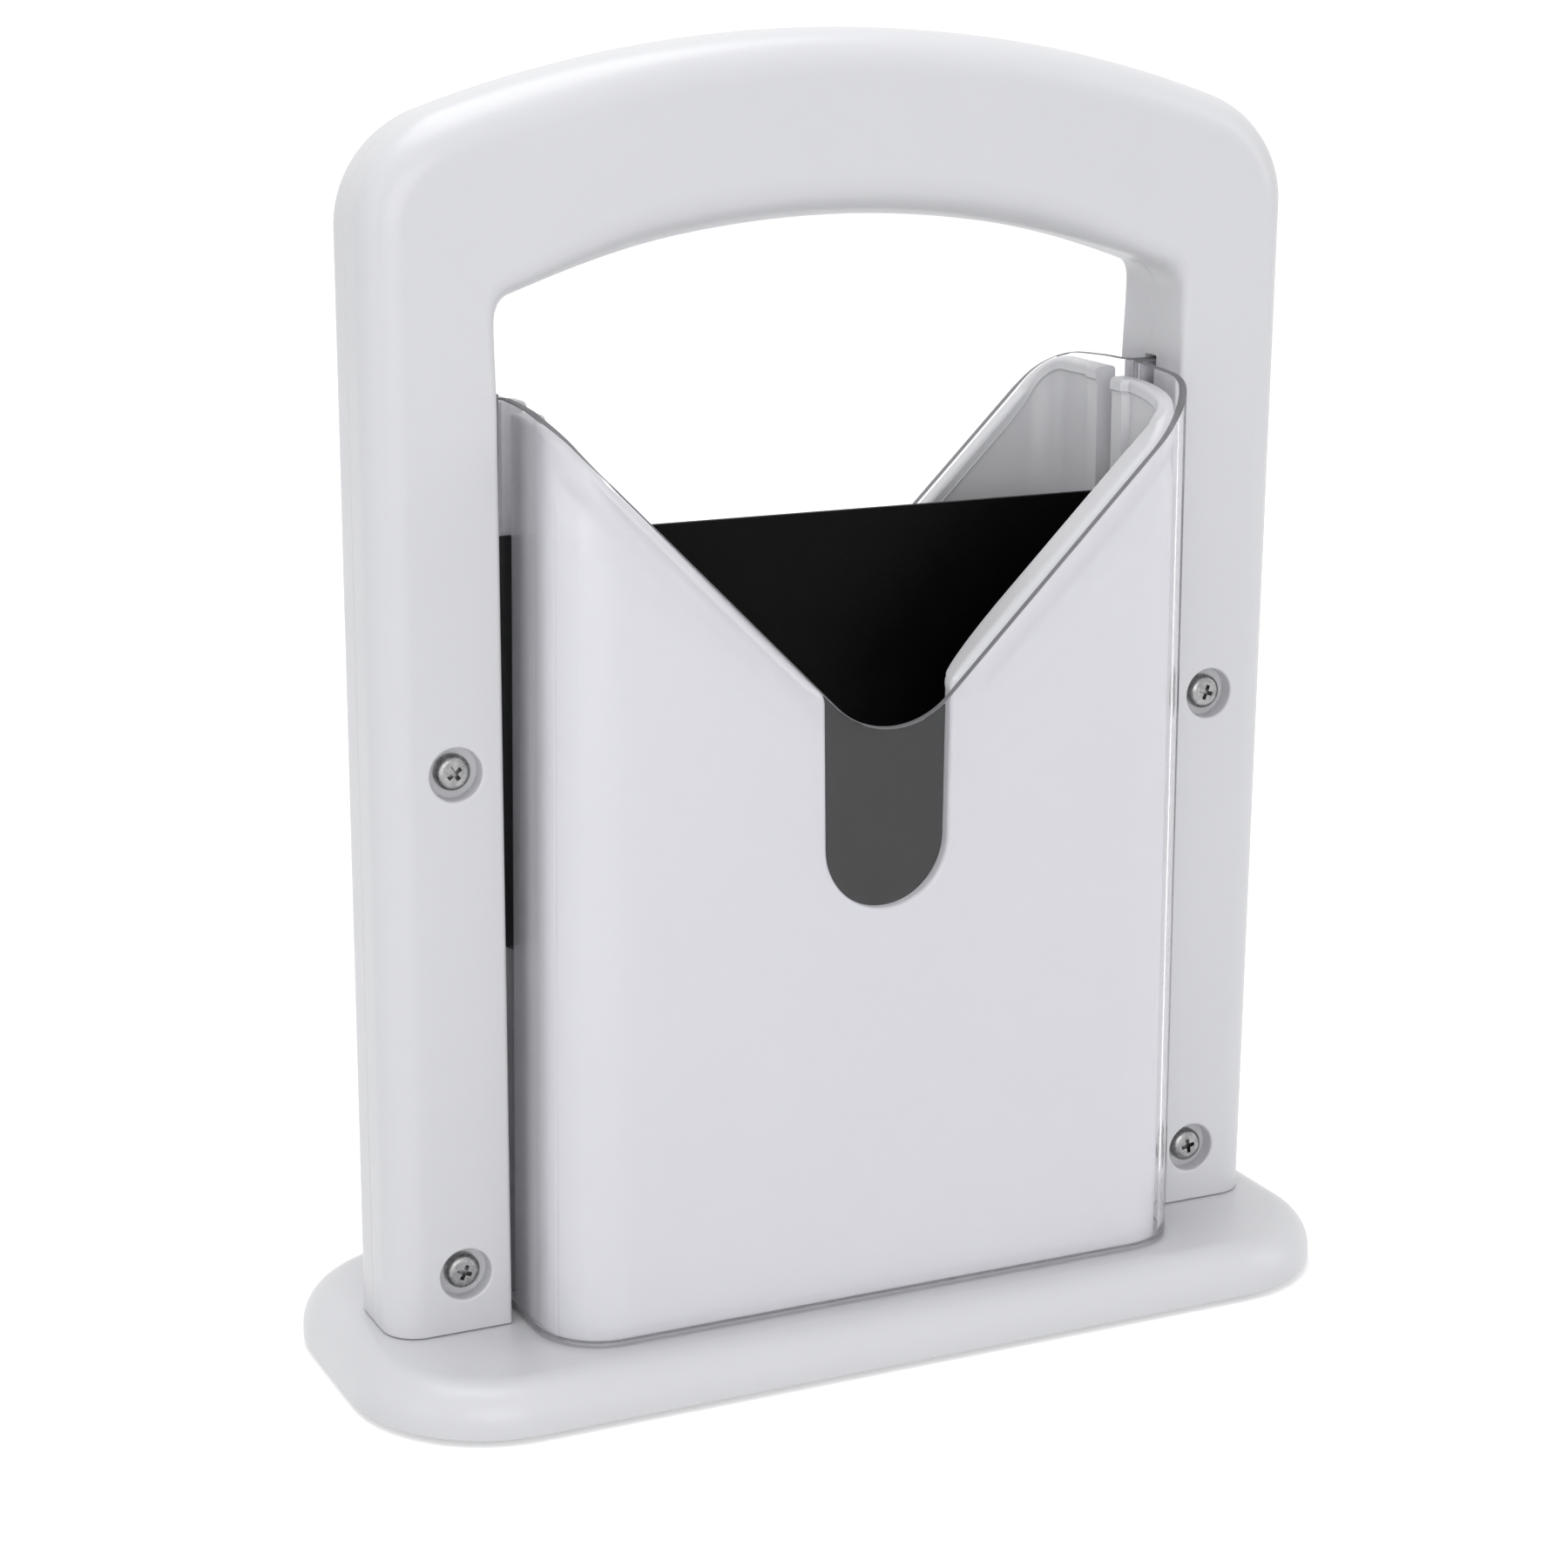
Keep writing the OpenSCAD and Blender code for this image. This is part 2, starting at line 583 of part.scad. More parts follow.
module blade() {
    color(black) difference() {
        union() {
            translate([0, blade_t / 2, 0]) rotate([90, 0, 0]) linear_extrude(blade_t) blade_flat();
            cutting_edge();
        }
        for (x = [-screw_x, screw_x]) translate([x, 0, upper_screw_z])
            along_y(shank_d + 2 * shank_play, -blade_t, blade_t);
    }
}

// ---------------------------------------------------------------- base

// Section of the base's edge: square at the bottom, round at the top.
module edge_section(reach) {
    low = base_bottom_z;
    high = base_top_z;
    translate([0, low]) square([reach - base_edge_r, high - low]);
    translate([0, low]) square([reach, high - base_edge_r - low]);
    intersection() {
        translate([reach - base_edge_r, high - base_edge_r]) circle(r = base_edge_r);
        translate([0, low]) square([reach, high - low]);
    }
}

// The base's outer block, as two crossed bars and four turned corners.
module base_block() {
    cx = base_w / 2 - base_corner_r;
    cy = base_d / 2 - base_corner_r;
    for (s = [0, 1]) mirror([0, s, 0])
        translate([-cx, 0, 0]) rotate([90, 0, 90]) linear_extrude(2 * cx) edge_section(base_d / 2);
    for (s = [0, 1]) mirror([s, 0, 0])
        translate([0, cy, 0]) rotate([90, 0, 0]) linear_extrude(2 * cy) edge_section(base_w / 2);
    for (x = [-cx, cx], y = [-cy, cy])
        translate([x, y, 0]) rotate_extrude($fn = 96) edge_section(base_corner_r);
}

module at_feet() {
    for (x = [-foot_x, foot_x], y = [-foot_y, foot_y]) translate([x, y, 0]) children();
}

// Hollow cells of the underside, clear of the rim, the feet, the screw pads and the groove.
module base_cells() {
    cells = 9;
    rows = 4;
    pad = 5;
    in_x = base_w / 2 - base_edge_r - base_rib;
    in_y = base_d / 2 - base_edge_r - base_rib;
    pitch_x = 2 * in_x / cells;
    pitch_y = 2 * in_y / rows;
    low = base_bottom_z - overrun;
    difference() {
        for (i = [0 : cells - 1], j = [0 : rows - 1])
            translate([-in_x + i * pitch_x + base_rib / 2, -in_y + j * pitch_y + base_rib / 2, low])
                cube([pitch_x - base_rib, pitch_y - base_rib, base_top_z - base_skin - low]);
        at_feet() cylinder(h = base_top_z, d = foot_d + pad);
        for (s = [0, 1]) mirror([0, s, 0]) at_bosses() cylinder(h = base_top_z, d = head_d + pad);
        translate([-shell_half_w, -gap_half - 1, 0]) cube([2 * shell_half_w, blade_gap + 2, base_top_z]);
    }
}

module base() {
    groove_w = 3 * blade_t;
    groove_half = blade_half_w + 1;
    color(white) difference() {
        base_block();
        base_cells();
        translate([-groove_half, -groove_w / 2, groove_z])
            cube([2 * groove_half, groove_w, groove_depth + overrun]);
        at_feet() translate([0, 0, base_bottom_z - overrun])
            cylinder(h = foot_sink + overrun, d = foot_d + 0.2);
        for (s = [0, 1]) mirror([0, s, 0]) at_bosses() {
            cylinder(h = base_top_z + overrun, d = shank_d + 2 * shank_play);
            cylinder(h = screw_floor_z, d = head_d + 1);
        }
    }
}

module base_screws() {
    color(steel) for (s = [0, 1]) mirror([0, s, 0]) at_bosses()
        translate([0, 0, screw_floor_z]) screw(base_screw_l);
}

// A rubber foot: a disc in its socket, with a rounded rim where it meets the worktop.
module foot(x, y) {
    rim = min(0.6, foot_show / 2);
    color(rubber) translate([x, y, 0]) rotate_extrude() union() {
        translate([0, rim]) square([foot_d / 2, foot_show + foot_sink - rim]);
        square([foot_d / 2 - rim, rim]);
        intersection() {
            translate([foot_d / 2 - rim, rim]) circle(r = rim);
            square([foot_d / 2, rim]);
        }
    }
}

module foot_front_left() { foot(-foot_x, -foot_y); }
module foot_front_right() { foot(foot_x, -foot_y); }
module foot_rear_left() { foot(-foot_x, foot_y); }
module foot_rear_right() { foot(foot_x, foot_y); }

base();
front_shell();
rear_shell();
base_screws();
foot_front_left();
foot_front_right();
foot_rear_left();
foot_rear_right();
handle_front();
handle_rear();
blade();
front_shield();
rear_shield();
handle_screws();
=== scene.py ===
# %% [markdown]
# # A guillotine slicer, finished in Blender
#
# The slicer is a white holder with a V mouth on a flat base, and a handle that lifts off it.
# The handle carries a black blade between two clear shields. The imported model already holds
# every piece at its real size, so this lesson models the same pieces again, finer and with
# their small roundings, and gives each its finish. Lengths are in metres: MM turns a size
# that was read in millimetres into metres.

# %% Load the fixed frame
import math

import bmesh
import bpy
from mathutils import Matrix, Vector


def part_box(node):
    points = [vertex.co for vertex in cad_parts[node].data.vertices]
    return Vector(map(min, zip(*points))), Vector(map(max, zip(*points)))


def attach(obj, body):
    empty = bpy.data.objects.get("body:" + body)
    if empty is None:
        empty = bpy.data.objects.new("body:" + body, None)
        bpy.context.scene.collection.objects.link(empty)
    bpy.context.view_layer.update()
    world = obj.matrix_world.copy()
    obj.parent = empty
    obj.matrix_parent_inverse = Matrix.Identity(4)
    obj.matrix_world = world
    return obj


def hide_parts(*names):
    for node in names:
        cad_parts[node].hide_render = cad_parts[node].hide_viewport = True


MM = 0.001
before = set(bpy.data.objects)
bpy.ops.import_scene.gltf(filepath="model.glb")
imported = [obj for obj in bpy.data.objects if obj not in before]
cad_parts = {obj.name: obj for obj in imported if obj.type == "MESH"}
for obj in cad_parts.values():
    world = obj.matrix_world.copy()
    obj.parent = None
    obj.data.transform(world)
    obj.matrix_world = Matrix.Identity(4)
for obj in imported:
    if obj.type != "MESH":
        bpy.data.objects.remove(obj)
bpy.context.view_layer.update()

# %% [markdown]
# ## The camera
#
# The photograph was taken from the front, from the left and a little above. The place, the
# angles and the lens below come from matching the outlines of the handle, shells and base.
# The camera is turned by its three axes, because that also takes in the slight roll.

# %% Camera
AZIMUTH, ELEVATION, ROLL = (math.radians(a) for a in (-25.357, 14.814, 0.347))
AIM = Vector((-8.35, 0, 101.1)) * MM
DISTANCE = 600.3 * MM
LENS_MM = 75.6

camera_back = Vector(
    (math.sin(AZIMUTH) * math.cos(ELEVATION), -math.cos(AZIMUTH) * math.cos(ELEVATION), math.sin(ELEVATION))
)
level_right = Vector((math.cos(AZIMUTH), math.sin(AZIMUTH), 0))
level_up = camera_back.cross(level_right)
camera_right = math.cos(ROLL) * level_right + math.sin(ROLL) * level_up
camera_up = math.cos(ROLL) * level_up - math.sin(ROLL) * level_right
camera_place = Matrix((camera_right, camera_up, camera_back)).transposed().to_4x4()
camera_place.translation = AIM + DISTANCE * camera_back

bpy.ops.object.camera_add()
camera = bpy.context.object
camera.name = "camera"
camera.matrix_world = camera_place
camera.data.lens = LENS_MM
camera.data.sensor_width = 36
camera.data.clip_start = 0.01
bpy.context.scene.camera = camera
print("camera at", [round(c, 3) for c in camera.location])

# %% [markdown]
# ## Working by hand, in code
#
# Each piece starts as a primitive and is then shaped. An operator acts on whatever is selected,
# so these helpers deselect everything first. A primitive is added at its size and place, and
# both are applied at once, so that the piece itself stays at the origin.

# %% Helpers for primitives
def up(height):
    """A step straight up."""
    return Vector((0, 0, height))


def only(piece):
    """Selects one piece and nothing else."""
    if bpy.context.object and bpy.context.object.mode != "OBJECT":
        bpy.ops.object.mode_set(mode="OBJECT")
    bpy.ops.object.select_all(action="DESELECT")
    piece.select_set(True)
    bpy.context.view_layer.objects.active = piece


def added(name):
    """Names the primitive that was just added, and applies its place and size."""
    piece = bpy.context.object
    piece.name = piece.data.name = name
    bpy.ops.object.transform_apply(location=True, rotation=True, scale=True)
    return piece


def block(name, low, high):
    """A cube between two corners."""
    low, high = Vector(low), Vector(high)
    bpy.ops.object.select_all(action="DESELECT")
    bpy.ops.mesh.primitive_cube_add(size=1, location=(low + high) / 2, scale=high - low)
    return added(name)


def rod(name, start, end, radius, sides):
    """A cylinder from one point to another."""
    start, end = Vector(start), Vector(end)
    turn = (end - start).to_track_quat("Z", "Y").to_euler()
    bpy.ops.object.select_all(action="DESELECT")
    bpy.ops.mesh.primitive_cylinder_add(
        vertices=sides, radius=radius, depth=(end - start).length, location=(start + end) / 2, rotation=turn
    )
    return added(name)


# %% [markdown]
# By hand, faces and edges are picked with a click. In code they are picked by a test of where
# they lie or which way they run. Two places that are nearer than NEAR count as the same.

# %% Helpers for picking and bevelling
NEAR = 0.01 * MM


def pick(kind, test):
    """In edit mode, selects the faces, edges or points of the active piece that pass a test."""
    bpy.ops.mesh.select_mode(type=kind)
    bpy.ops.mesh.select_all(action="DESELECT")
    mesh = bmesh.from_edit_mesh(bpy.context.object.data)
    parts = {"FACE": mesh.faces, "EDGE": mesh.edges, "VERT": mesh.verts}[kind]
    found = [part for part in parts if test(part)]
    for part in found:
        part.select_set(True)
    bmesh.update_edit_mesh(bpy.context.object.data)
    return len(found)


def middle(edge):
    """The middle of an edge."""
    return (edge.verts[0].co + edge.verts[1].co) / 2


def along(edge, axis):
    """True if an edge runs along one axis, 0, 1 or 2."""
    way = (edge.verts[1].co - edge.verts[0].co).normalized()
    return abs(way[axis]) > 0.999


def bevel(piece, test, offset, segments):
    """Bevels the edges that pass a test, and says how many there were."""
    only(piece)
    bpy.ops.object.mode_set(mode="EDIT")
    found = pick("EDGE", test)
    if found:
        bpy.ops.mesh.bevel(offset=offset, segments=segments, affect="EDGES")
    bpy.ops.object.mode_set(mode="OBJECT")
    return found


# %% [markdown]
# Pieces are joined and cut with a Boolean modifier, applied at once. A piece is finished by
# merging its doubles, turning its faces outwards and shading it smooth between its sharp
# edges. Weighted normals then let the large faces stay flat beside their small roundings.

# %% Helpers for joining and finishing
DOUBLE = 0.002 * MM


def combine(piece, tool, operation):
    """Adds another piece to this one or cuts it away, and removes it."""
    only(piece)
    modifier = piece.modifiers.new("combine", "BOOLEAN")
    modifier.operation = operation
    modifier.solver = "EXACT"
    modifier.object = tool
    bpy.ops.object.modifier_apply(modifier=modifier.name)
    bpy.data.objects.remove(tool)
    return piece


def finished(piece, angle=32):
    """Merges doubles, turns faces outwards and shades the piece smooth between sharp edges."""
    only(piece)
    bpy.ops.object.mode_set(mode="EDIT")
    bpy.ops.mesh.select_all(action="SELECT")
    bpy.ops.mesh.remove_doubles(threshold=DOUBLE)
    bpy.ops.mesh.normals_make_consistent(inside=False)
    bpy.ops.object.mode_set(mode="OBJECT")
    bpy.ops.object.shade_smooth_by_angle(angle=math.radians(angle))
    modifier = piece.modifiers.new("even", "WEIGHTED_NORMAL")
    modifier.keep_sharp = True
    bpy.ops.object.modifier_apply(modifier=modifier.name)
    print(piece.name, len(piece.data.polygons), "faces")
    return piece


# %% [markdown]
# Moulded forms such as the shells have no simple start: every point follows from a drafted
# wall and a rolled lip. For those a grid is added, and each of its points is put where the
# rule says. The grid's rows are closed into rings, and the two ends are capped.

# %% Helpers for moulded forms
def span(low, high, steps):
    """Evenly spaced values, with both ends."""
    return [low + (high - low) * i / steps for i in range(steps + 1)]


def mix(low, high, share):
    """A value between two others."""
    return low + (high - low) * share


def ease(share):
    """A share from 0 to 1 that starts and ends gently."""
    share = min(1, max(0, share))
    return share * share * (3 - 2 * share)


def skinned(name, rings, capped=True):
    """A closed skin over rings of points, all with the same number of points."""
    bpy.ops.object.select_all(action="DESELECT")
    bpy.ops.mesh.primitive_grid_add(x_subdivisions=len(rings[0]), y_subdivisions=len(rings) - 1)
    piece = added(name)
    places = [point for ring in rings for point in (*ring, ring[0])]
    for vertex, place in zip(piece.data.vertices, places, strict=True):
        vertex.co = place
    bpy.ops.object.mode_set(mode="EDIT")
    bpy.ops.mesh.select_all(action="SELECT")
    bpy.ops.mesh.remove_doubles(threshold=DOUBLE)
    if capped:
        bpy.ops.mesh.fill_holes(sides=0)
    bpy.ops.mesh.select_all(action="SELECT")
    bpy.ops.mesh.normals_make_consistent(inside=False)
    bpy.ops.object.mode_set(mode="OBJECT")
    return piece


# %% [markdown]
# ## Finishes
#
# Every finish is a node tree that reads Object coordinates, so its marks have a real size and
# stay on the piece. Noise is the same everywhere in space, so the waves per metre set how fine
# it is, and each finish says what the noise changes: the tint, the roughness or the height.

# %% Helpers for finishes
NOISE_LOW, NOISE_HIGH = 0.3, 0.7


def finish_of(name, colour, roughness, metallic=0.0):
    """A new material with its Principled shader and the tree to add to."""
    material = bpy.data.materials.new(name)
    material.use_nodes = True
    tree = material.node_tree
    shader = tree.nodes["Principled BSDF"]
    shader.inputs["Base Color"].default_value = (*colour, 1)
    shader.inputs["Roughness"].default_value = roughness
    shader.inputs["Metallic"].default_value = metallic
    return material, tree, shader


def noise(tree, scale, detail=3.0, stretch=(1, 1, 1)):
    """Noise of a given number of waves per metre, on Object coordinates."""
    where = tree.nodes.new("ShaderNodeTexCoord")
    mapping = tree.nodes.new("ShaderNodeMapping")
    mapping.inputs["Scale"].default_value = stretch
    texture = tree.nodes.new("ShaderNodeTexNoise")
    texture.inputs["Scale"].default_value = scale
    texture.inputs["Detail"].default_value = detail
    tree.links.new(where.outputs["Object"], mapping.inputs["Vector"])
    tree.links.new(mapping.outputs["Vector"], texture.inputs["Vector"])
    return texture.outputs["Fac"]


def ranged(tree, value, low, high):
    """Noise, which seldom leaves its middle range, brought into another one."""
    node = tree.nodes.new("ShaderNodeMapRange")
    node.inputs["From Min"].default_value = NOISE_LOW
    node.inputs["From Max"].default_value = NOISE_HIGH
    node.inputs["To Min"].default_value = low
    node.inputs["To Max"].default_value = high
    tree.links.new(value, node.inputs["Value"])
    return node.outputs["Result"]


def bumped(tree, shader, value, height):
    """Bump from noise, with its height in metres."""
    node = tree.nodes.new("ShaderNodeBump")
    node.inputs["Distance"].default_value = height
    tree.links.new(value, node.inputs["Height"])
    tree.links.new(node.outputs["Normal"], shader.inputs["Normal"])


def roughened(tree, shader, value, low, high):
    """Roughness that wanders between two values, by noise."""
    tree.links.new(ranged(tree, value, low, high), shader.inputs["Roughness"])


def tinted(tree, shader, value, dark, light):
    """Base colour that wanders between two colours, by noise."""
    node = tree.nodes.new("ShaderNodeMix")
    node.data_type = "RGBA"
    node.inputs["A"].default_value = (*dark, 1)
    node.inputs["B"].default_value = (*light, 1)
    tree.links.new(ranged(tree, value, 0, 1), node.inputs["Factor"])
    tree.links.new(node.outputs["Result"], shader.inputs["Base Color"])


def chosen(tree, share, first, second):
    """One of two shaders, or a mix: share is 0 for the first and 1 for the second."""
    node = tree.nodes.new("ShaderNodeMixShader")
    for entry, value in zip(node.inputs, (share, first, second), strict=True):
        tree.links.new(value, entry)
    return node.outputs["Shader"]


# %% [markdown]
# Moulded plastic isn't a flat colour: its tint and gloss vary a little from place to place, and
# its skin is slightly wavy. The waves are long and low, because a fine grain would break up the
# soft reflections that show the forms.

# %% White moulded plastic
def white_plastic():
    material, tree, shader = finish_of("white_plastic", (0.72, 0.72, 0.74), 0.34)
    tinted(tree, shader, noise(tree, 14), (0.71, 0.71, 0.73), (0.73, 0.73, 0.75))
    roughened(tree, shader, noise(tree, 55), 0.3, 0.38)
    bumped(tree, shader, noise(tree, 30, 1), 0.02 * MM)
    shader.inputs["Coat Weight"].default_value = 0.12
    shader.inputs["Coat Roughness"].default_value = 0.24
    return material


# %% [markdown]
# The blade's coating is a thin black film that hardly shines, with a fine spatter in its tint.
# Its edge was ground after coating, so bright steel shows there, with scratches that run up
# from the teeth.

# %% Blade coating and ground steel
def blade_coating():
    material, tree, shader = finish_of("blade_coating", (0.0015, 0.0015, 0.0016), 0.45)
    shader.inputs["Specular IOR Level"].default_value = 0.08
    roughened(tree, shader, noise(tree, 120, 4), 0.42, 0.5)
    tinted(tree, shader, noise(tree, 1500, 2), (0.001, 0.001, 0.0012), (0.002, 0.002, 0.0024))
    return material


def ground_steel():
    material, tree, shader = finish_of("ground_steel", (0.55, 0.56, 0.57), 0.3, 1.0)
    strokes = noise(tree, 2500, 2, stretch=(1, 1, 0.04))
    roughened(tree, shader, strokes, 0.2, 0.42)
    bumped(tree, shader, strokes, 0.01 * MM)
    return material


# %% [markdown]
# The shields are clear sheet. Light from a lamp would need caustics to get through real glass
# in a path tracer, so shadow rays see a plain transparent surface that takes a little of the
# light, and everything else sees clear plastic. Its bending is kept low, because a sheet this
# thin hardly bends what is behind it, and a coat brings back some of the reflections that the
# full index would give. The cut edge gets a dark grey finish of its own, painted shade that
# stands in for the dark line refraction draws along a clear sheet's edge, seen as a fine grey line.

# %% Clear plastic
def clear_plastic():
    material, tree, shader = finish_of("clear_plastic", (0.975, 0.972, 0.99), 0.04)
    shader.inputs["Transmission Weight"].default_value = 0.978
    shader.inputs["IOR"].default_value = 1.13
    shader.inputs["Coat Weight"].default_value = 0.3
    shader.inputs["Coat Roughness"].default_value = 0.15
    bumped(tree, shader, noise(tree, 22, 1), 0.004 * MM)
    for_lamps = tree.nodes.new("ShaderNodeBsdfTransparent")
    for_lamps.inputs["Color"].default_value = (0.88, 0.88, 0.89, 1)
    rays = tree.nodes.new("ShaderNodeLightPath")
    surface = chosen(tree, rays.outputs["Is Shadow Ray"], shader.outputs["BSDF"], for_lamps.outputs["BSDF"])
    tree.links.new(surface, tree.nodes["Material Output"].inputs["Surface"])
    return material


def clear_edge_painted_shade():
    # The dark grey is painted shade: it stands in for the dark line that refraction draws along a clear
    # sheet's edge.
    material, tree, shader = finish_of("clear_edge_painted_shade", (0.22, 0.22, 0.23), 0.35)
    shader.inputs["Transmission Weight"].default_value = 0.15
    shader.inputs["IOR"].default_value = 1.15
    roughened(tree, shader, noise(tree, 1800, 2), 0.3, 0.5)
    bumped(tree, shader, noise(tree, 2400, 2), 0.004 * MM)
    return material


# %% [markdown]
# The screws are zinc plated, which leaves the steel patchy between a light and a darker grey.
# The rubber of the feet is dark and matt, with a pebbled skin.

# %% Screw steel and rubber
def screw_steel():
    material, tree, shader = finish_of("screw_steel", (0.5, 0.5, 0.5), 0.28, 1.0)
    tinted(tree, shader, noise(tree, 700, 3), (0.24, 0.24, 0.245), (0.4, 0.4, 0.4))
    roughened(tree, shader, noise(tree, 1500, 3), 0.2, 0.4)
    bumped(tree, shader, noise(tree, 2000, 2), 0.008 * MM)
    return material


def foot_rubber():
    material, tree, shader = finish_of("foot_rubber", (0.03, 0.03, 0.032), 0.8)
    roughened(tree, shader, noise(tree, 900, 4), 0.7, 0.9)
    bumped(tree, shader, noise(tree, 2200, 3), 0.02 * MM)
    return material


# %% [markdown]
# Each finish is made once. Every piece is then given its finish and put on an empty for the body
# it rides on, and the node of the imported model that it stands for is hidden.

# %% The finishes, and a helper that gives them to the pieces
WHITE, COATING, STEEL = white_plastic(), blade_coating(), screw_steel()
CLEAR, EDGE_SHADE_FINISH = clear_plastic(), clear_edge_painted_shade()
RUBBER, GROUND = foot_rubber(), ground_steel()


def placed(piece, material, slot, body, *nodes):
    """Gives a finished piece its material, puts it on its body's empty and hides the nodes it stands for."""
    if not piece.data.materials:
        piece.data.materials.append(material)
    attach(piece, body)
    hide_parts(*nodes)


# %% [markdown]
# ## Sizes
#
# The frame gives each piece's box, and most sizes follow from those. What a box doesn't show,
# such as a radius, a wall or a gap, is named once, here or with the piece that has it.

# %% Sizes that several pieces share
shell_low, shell_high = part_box("front_shell")
handle_low, handle_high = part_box("handle_front")
blade_low, blade_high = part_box("blade")
shield_low, shield_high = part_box("front_shield")
screw_low, screw_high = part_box("handle_screws")
base_low, base_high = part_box("base")

FLOOR_Z = shell_low.z
SHELL_HALF_W = shell_high.x
SHELL_FACE = -shell_low.y
SHELL_TOP = shell_high.z
BLADE_GAP = 2 * -shell_high.y
BLADE_T = blade_high.y - blade_low.y
SHIELD_T = 1.4 * MM
HEAD_R, HEAD_H = 3.2 * MM, 2.2 * MM
SHANK_R, SHANK_CLEARANCE = 1.5 * MM, 0.3 * MM
SCREW_X = screw_high.x - HEAD_R
SCREW_ZS = (screw_low.z + HEAD_R, screw_high.z - HEAD_R)
PAST = 1 * MM  # how far a cutting tool sticks out of the piece that it cuts
print("shell half width", round(SHELL_HALF_W / MM, 2))
print("screws at", round(SCREW_X / MM, 2), [round(z / MM, 2) for z in SCREW_ZS])

# %% [markdown]
# ## The drafted wall
#
# Shells and shields share one wall. It leans in as it rises, by a draft of 0.6 degrees, so
# that the mould lets go of it and the shields lift off the shells. A place on it is given by
# how far it lies along the wall from the middle of the front (its run), and by its height.

# %% A point of the drafted wall
SHELL_CORNER = 10.4 * MM
DRAFT = math.tan(math.radians(0.6))
FRONT_RUN = SHELL_HALF_W - SHELL_CORNER
CORNER_RUN = SHELL_CORNER * math.pi / 2


def corner_angle(run):
    """How far a place has gone round the corner, from 0 to a right angle."""
    return min(math.pi / 2, max(0, (abs(run) - FRONT_RUN) / SHELL_CORNER))


def corner_radius(z):
    """The corner's radius, which the draft makes smaller with height."""
    return SHELL_CORNER - DRAFT * (z - FLOOR_Z)


def wall_point(run, z, inset):
    """A point of the front wall, inset from its outer face."""
    side = -1 if run < 0 else 1
    angle, radius = corner_angle(run), corner_radius(z) - inset
    past = max(0, abs(run) - FRONT_RUN - CORNER_RUN)
    x = min(abs(run), FRONT_RUN) + radius * math.sin(angle)
    y = SHELL_CORNER - SHELL_FACE - radius * math.cos(angle) + past
    return Vector((side * x, y, z))


def run_to(y):
    """The run at which the end wall is this far in front of the blade."""
    return FRONT_RUN + CORNER_RUN + SHELL_FACE - SHELL_CORNER - y


# %% [markdown]
# The mouths of shells and shields have slopes at 45 degrees and a round shoulder at their top
# end. An edge is a list of places: run, height, the direction from there into the sheet, and
# the share of the lip. Only the right half is worked out, and the left one mirrors it.

# %% The edge of a mouth
SLOPE = math.sqrt(0.5)
JAMB_DEPTH, JAMB_STEP = 4.4 * MM, 0.8 * MM
SHOULDER_STEPS = 26


def shoulder_edge(top, apex, radius, end):
    """The mouth's edge from the end of its slope over the shoulder to the blade gap."""
    reach = (math.sqrt(2) - 1) * radius + top - apex
    start = reach - radius * SLOPE
    jamb = end - JAMB_DEPTH
    edge = []
    for run in [*span(start, jamb, SHOULDER_STEPS), jamb + JAMB_STEP, end]:
        sine = max(0, reach - run) / radius
        cosine = math.sqrt(1 - sine * sine)
        edge.append((run, top - radius + radius * cosine, sine, -cosine, 1))
    return edge


def both_sides(right):
    """The edge of the right half, led on from its mirror image."""
    left = [(-run, z, -nr, nz, lip) for run, z, nr, nz, lip in reversed(right[1:])]
    return left + right


# %% [markdown]
# ## The shells
#
# A shell is one moulded sheet with a V mouth and a finger slot. The front one's mouth has a
# rolled lip: the wall rolls over inwards, and the lip's back edge hangs in one upright plane.
# The lip fades out as the edge goes round the corner of the wall, and where the mouth turns
# down into the slot it runs out to a plain rounded edge. The rear shell's edge is plain all the
# way. Both come from one rule, which says how much of the lip is left at each place.

# %% The shell's edge
SHELL_WALL, JAMB_T = 2.5 * MM, 3.8 * MM
SLOT_HALF_W, SLOT_FLARE = 12 * MM, 0.3 * MM
SLOT_BOTTOM = SHELL_TOP - 91.4 * MM
SLOT_CENTRE = SLOT_BOTTOM + SLOT_HALF_W
JUNCTION_R, JUNCTION_LIP = 3 * MM, 0.3
LIP_RUN_OUT = 13 * MM
LIP_FADE = (math.radians(25), math.radians(80))


def wall_at(run):
    """Thickness of the wall, which steps up to the jamb beside the blade gap."""
    past_step = abs(run) - run_to(BLADE_GAP / 2 + JAMB_DEPTH)
    return mix(SHELL_WALL, JAMB_T, ease(past_step / JAMB_STEP))


def lip_left(run):
    """The share of the lip that is left as the edge goes round the corner."""
    return 1 - ease((corner_angle(run) - LIP_FADE[0]) / (LIP_FADE[1] - LIP_FADE[0]))


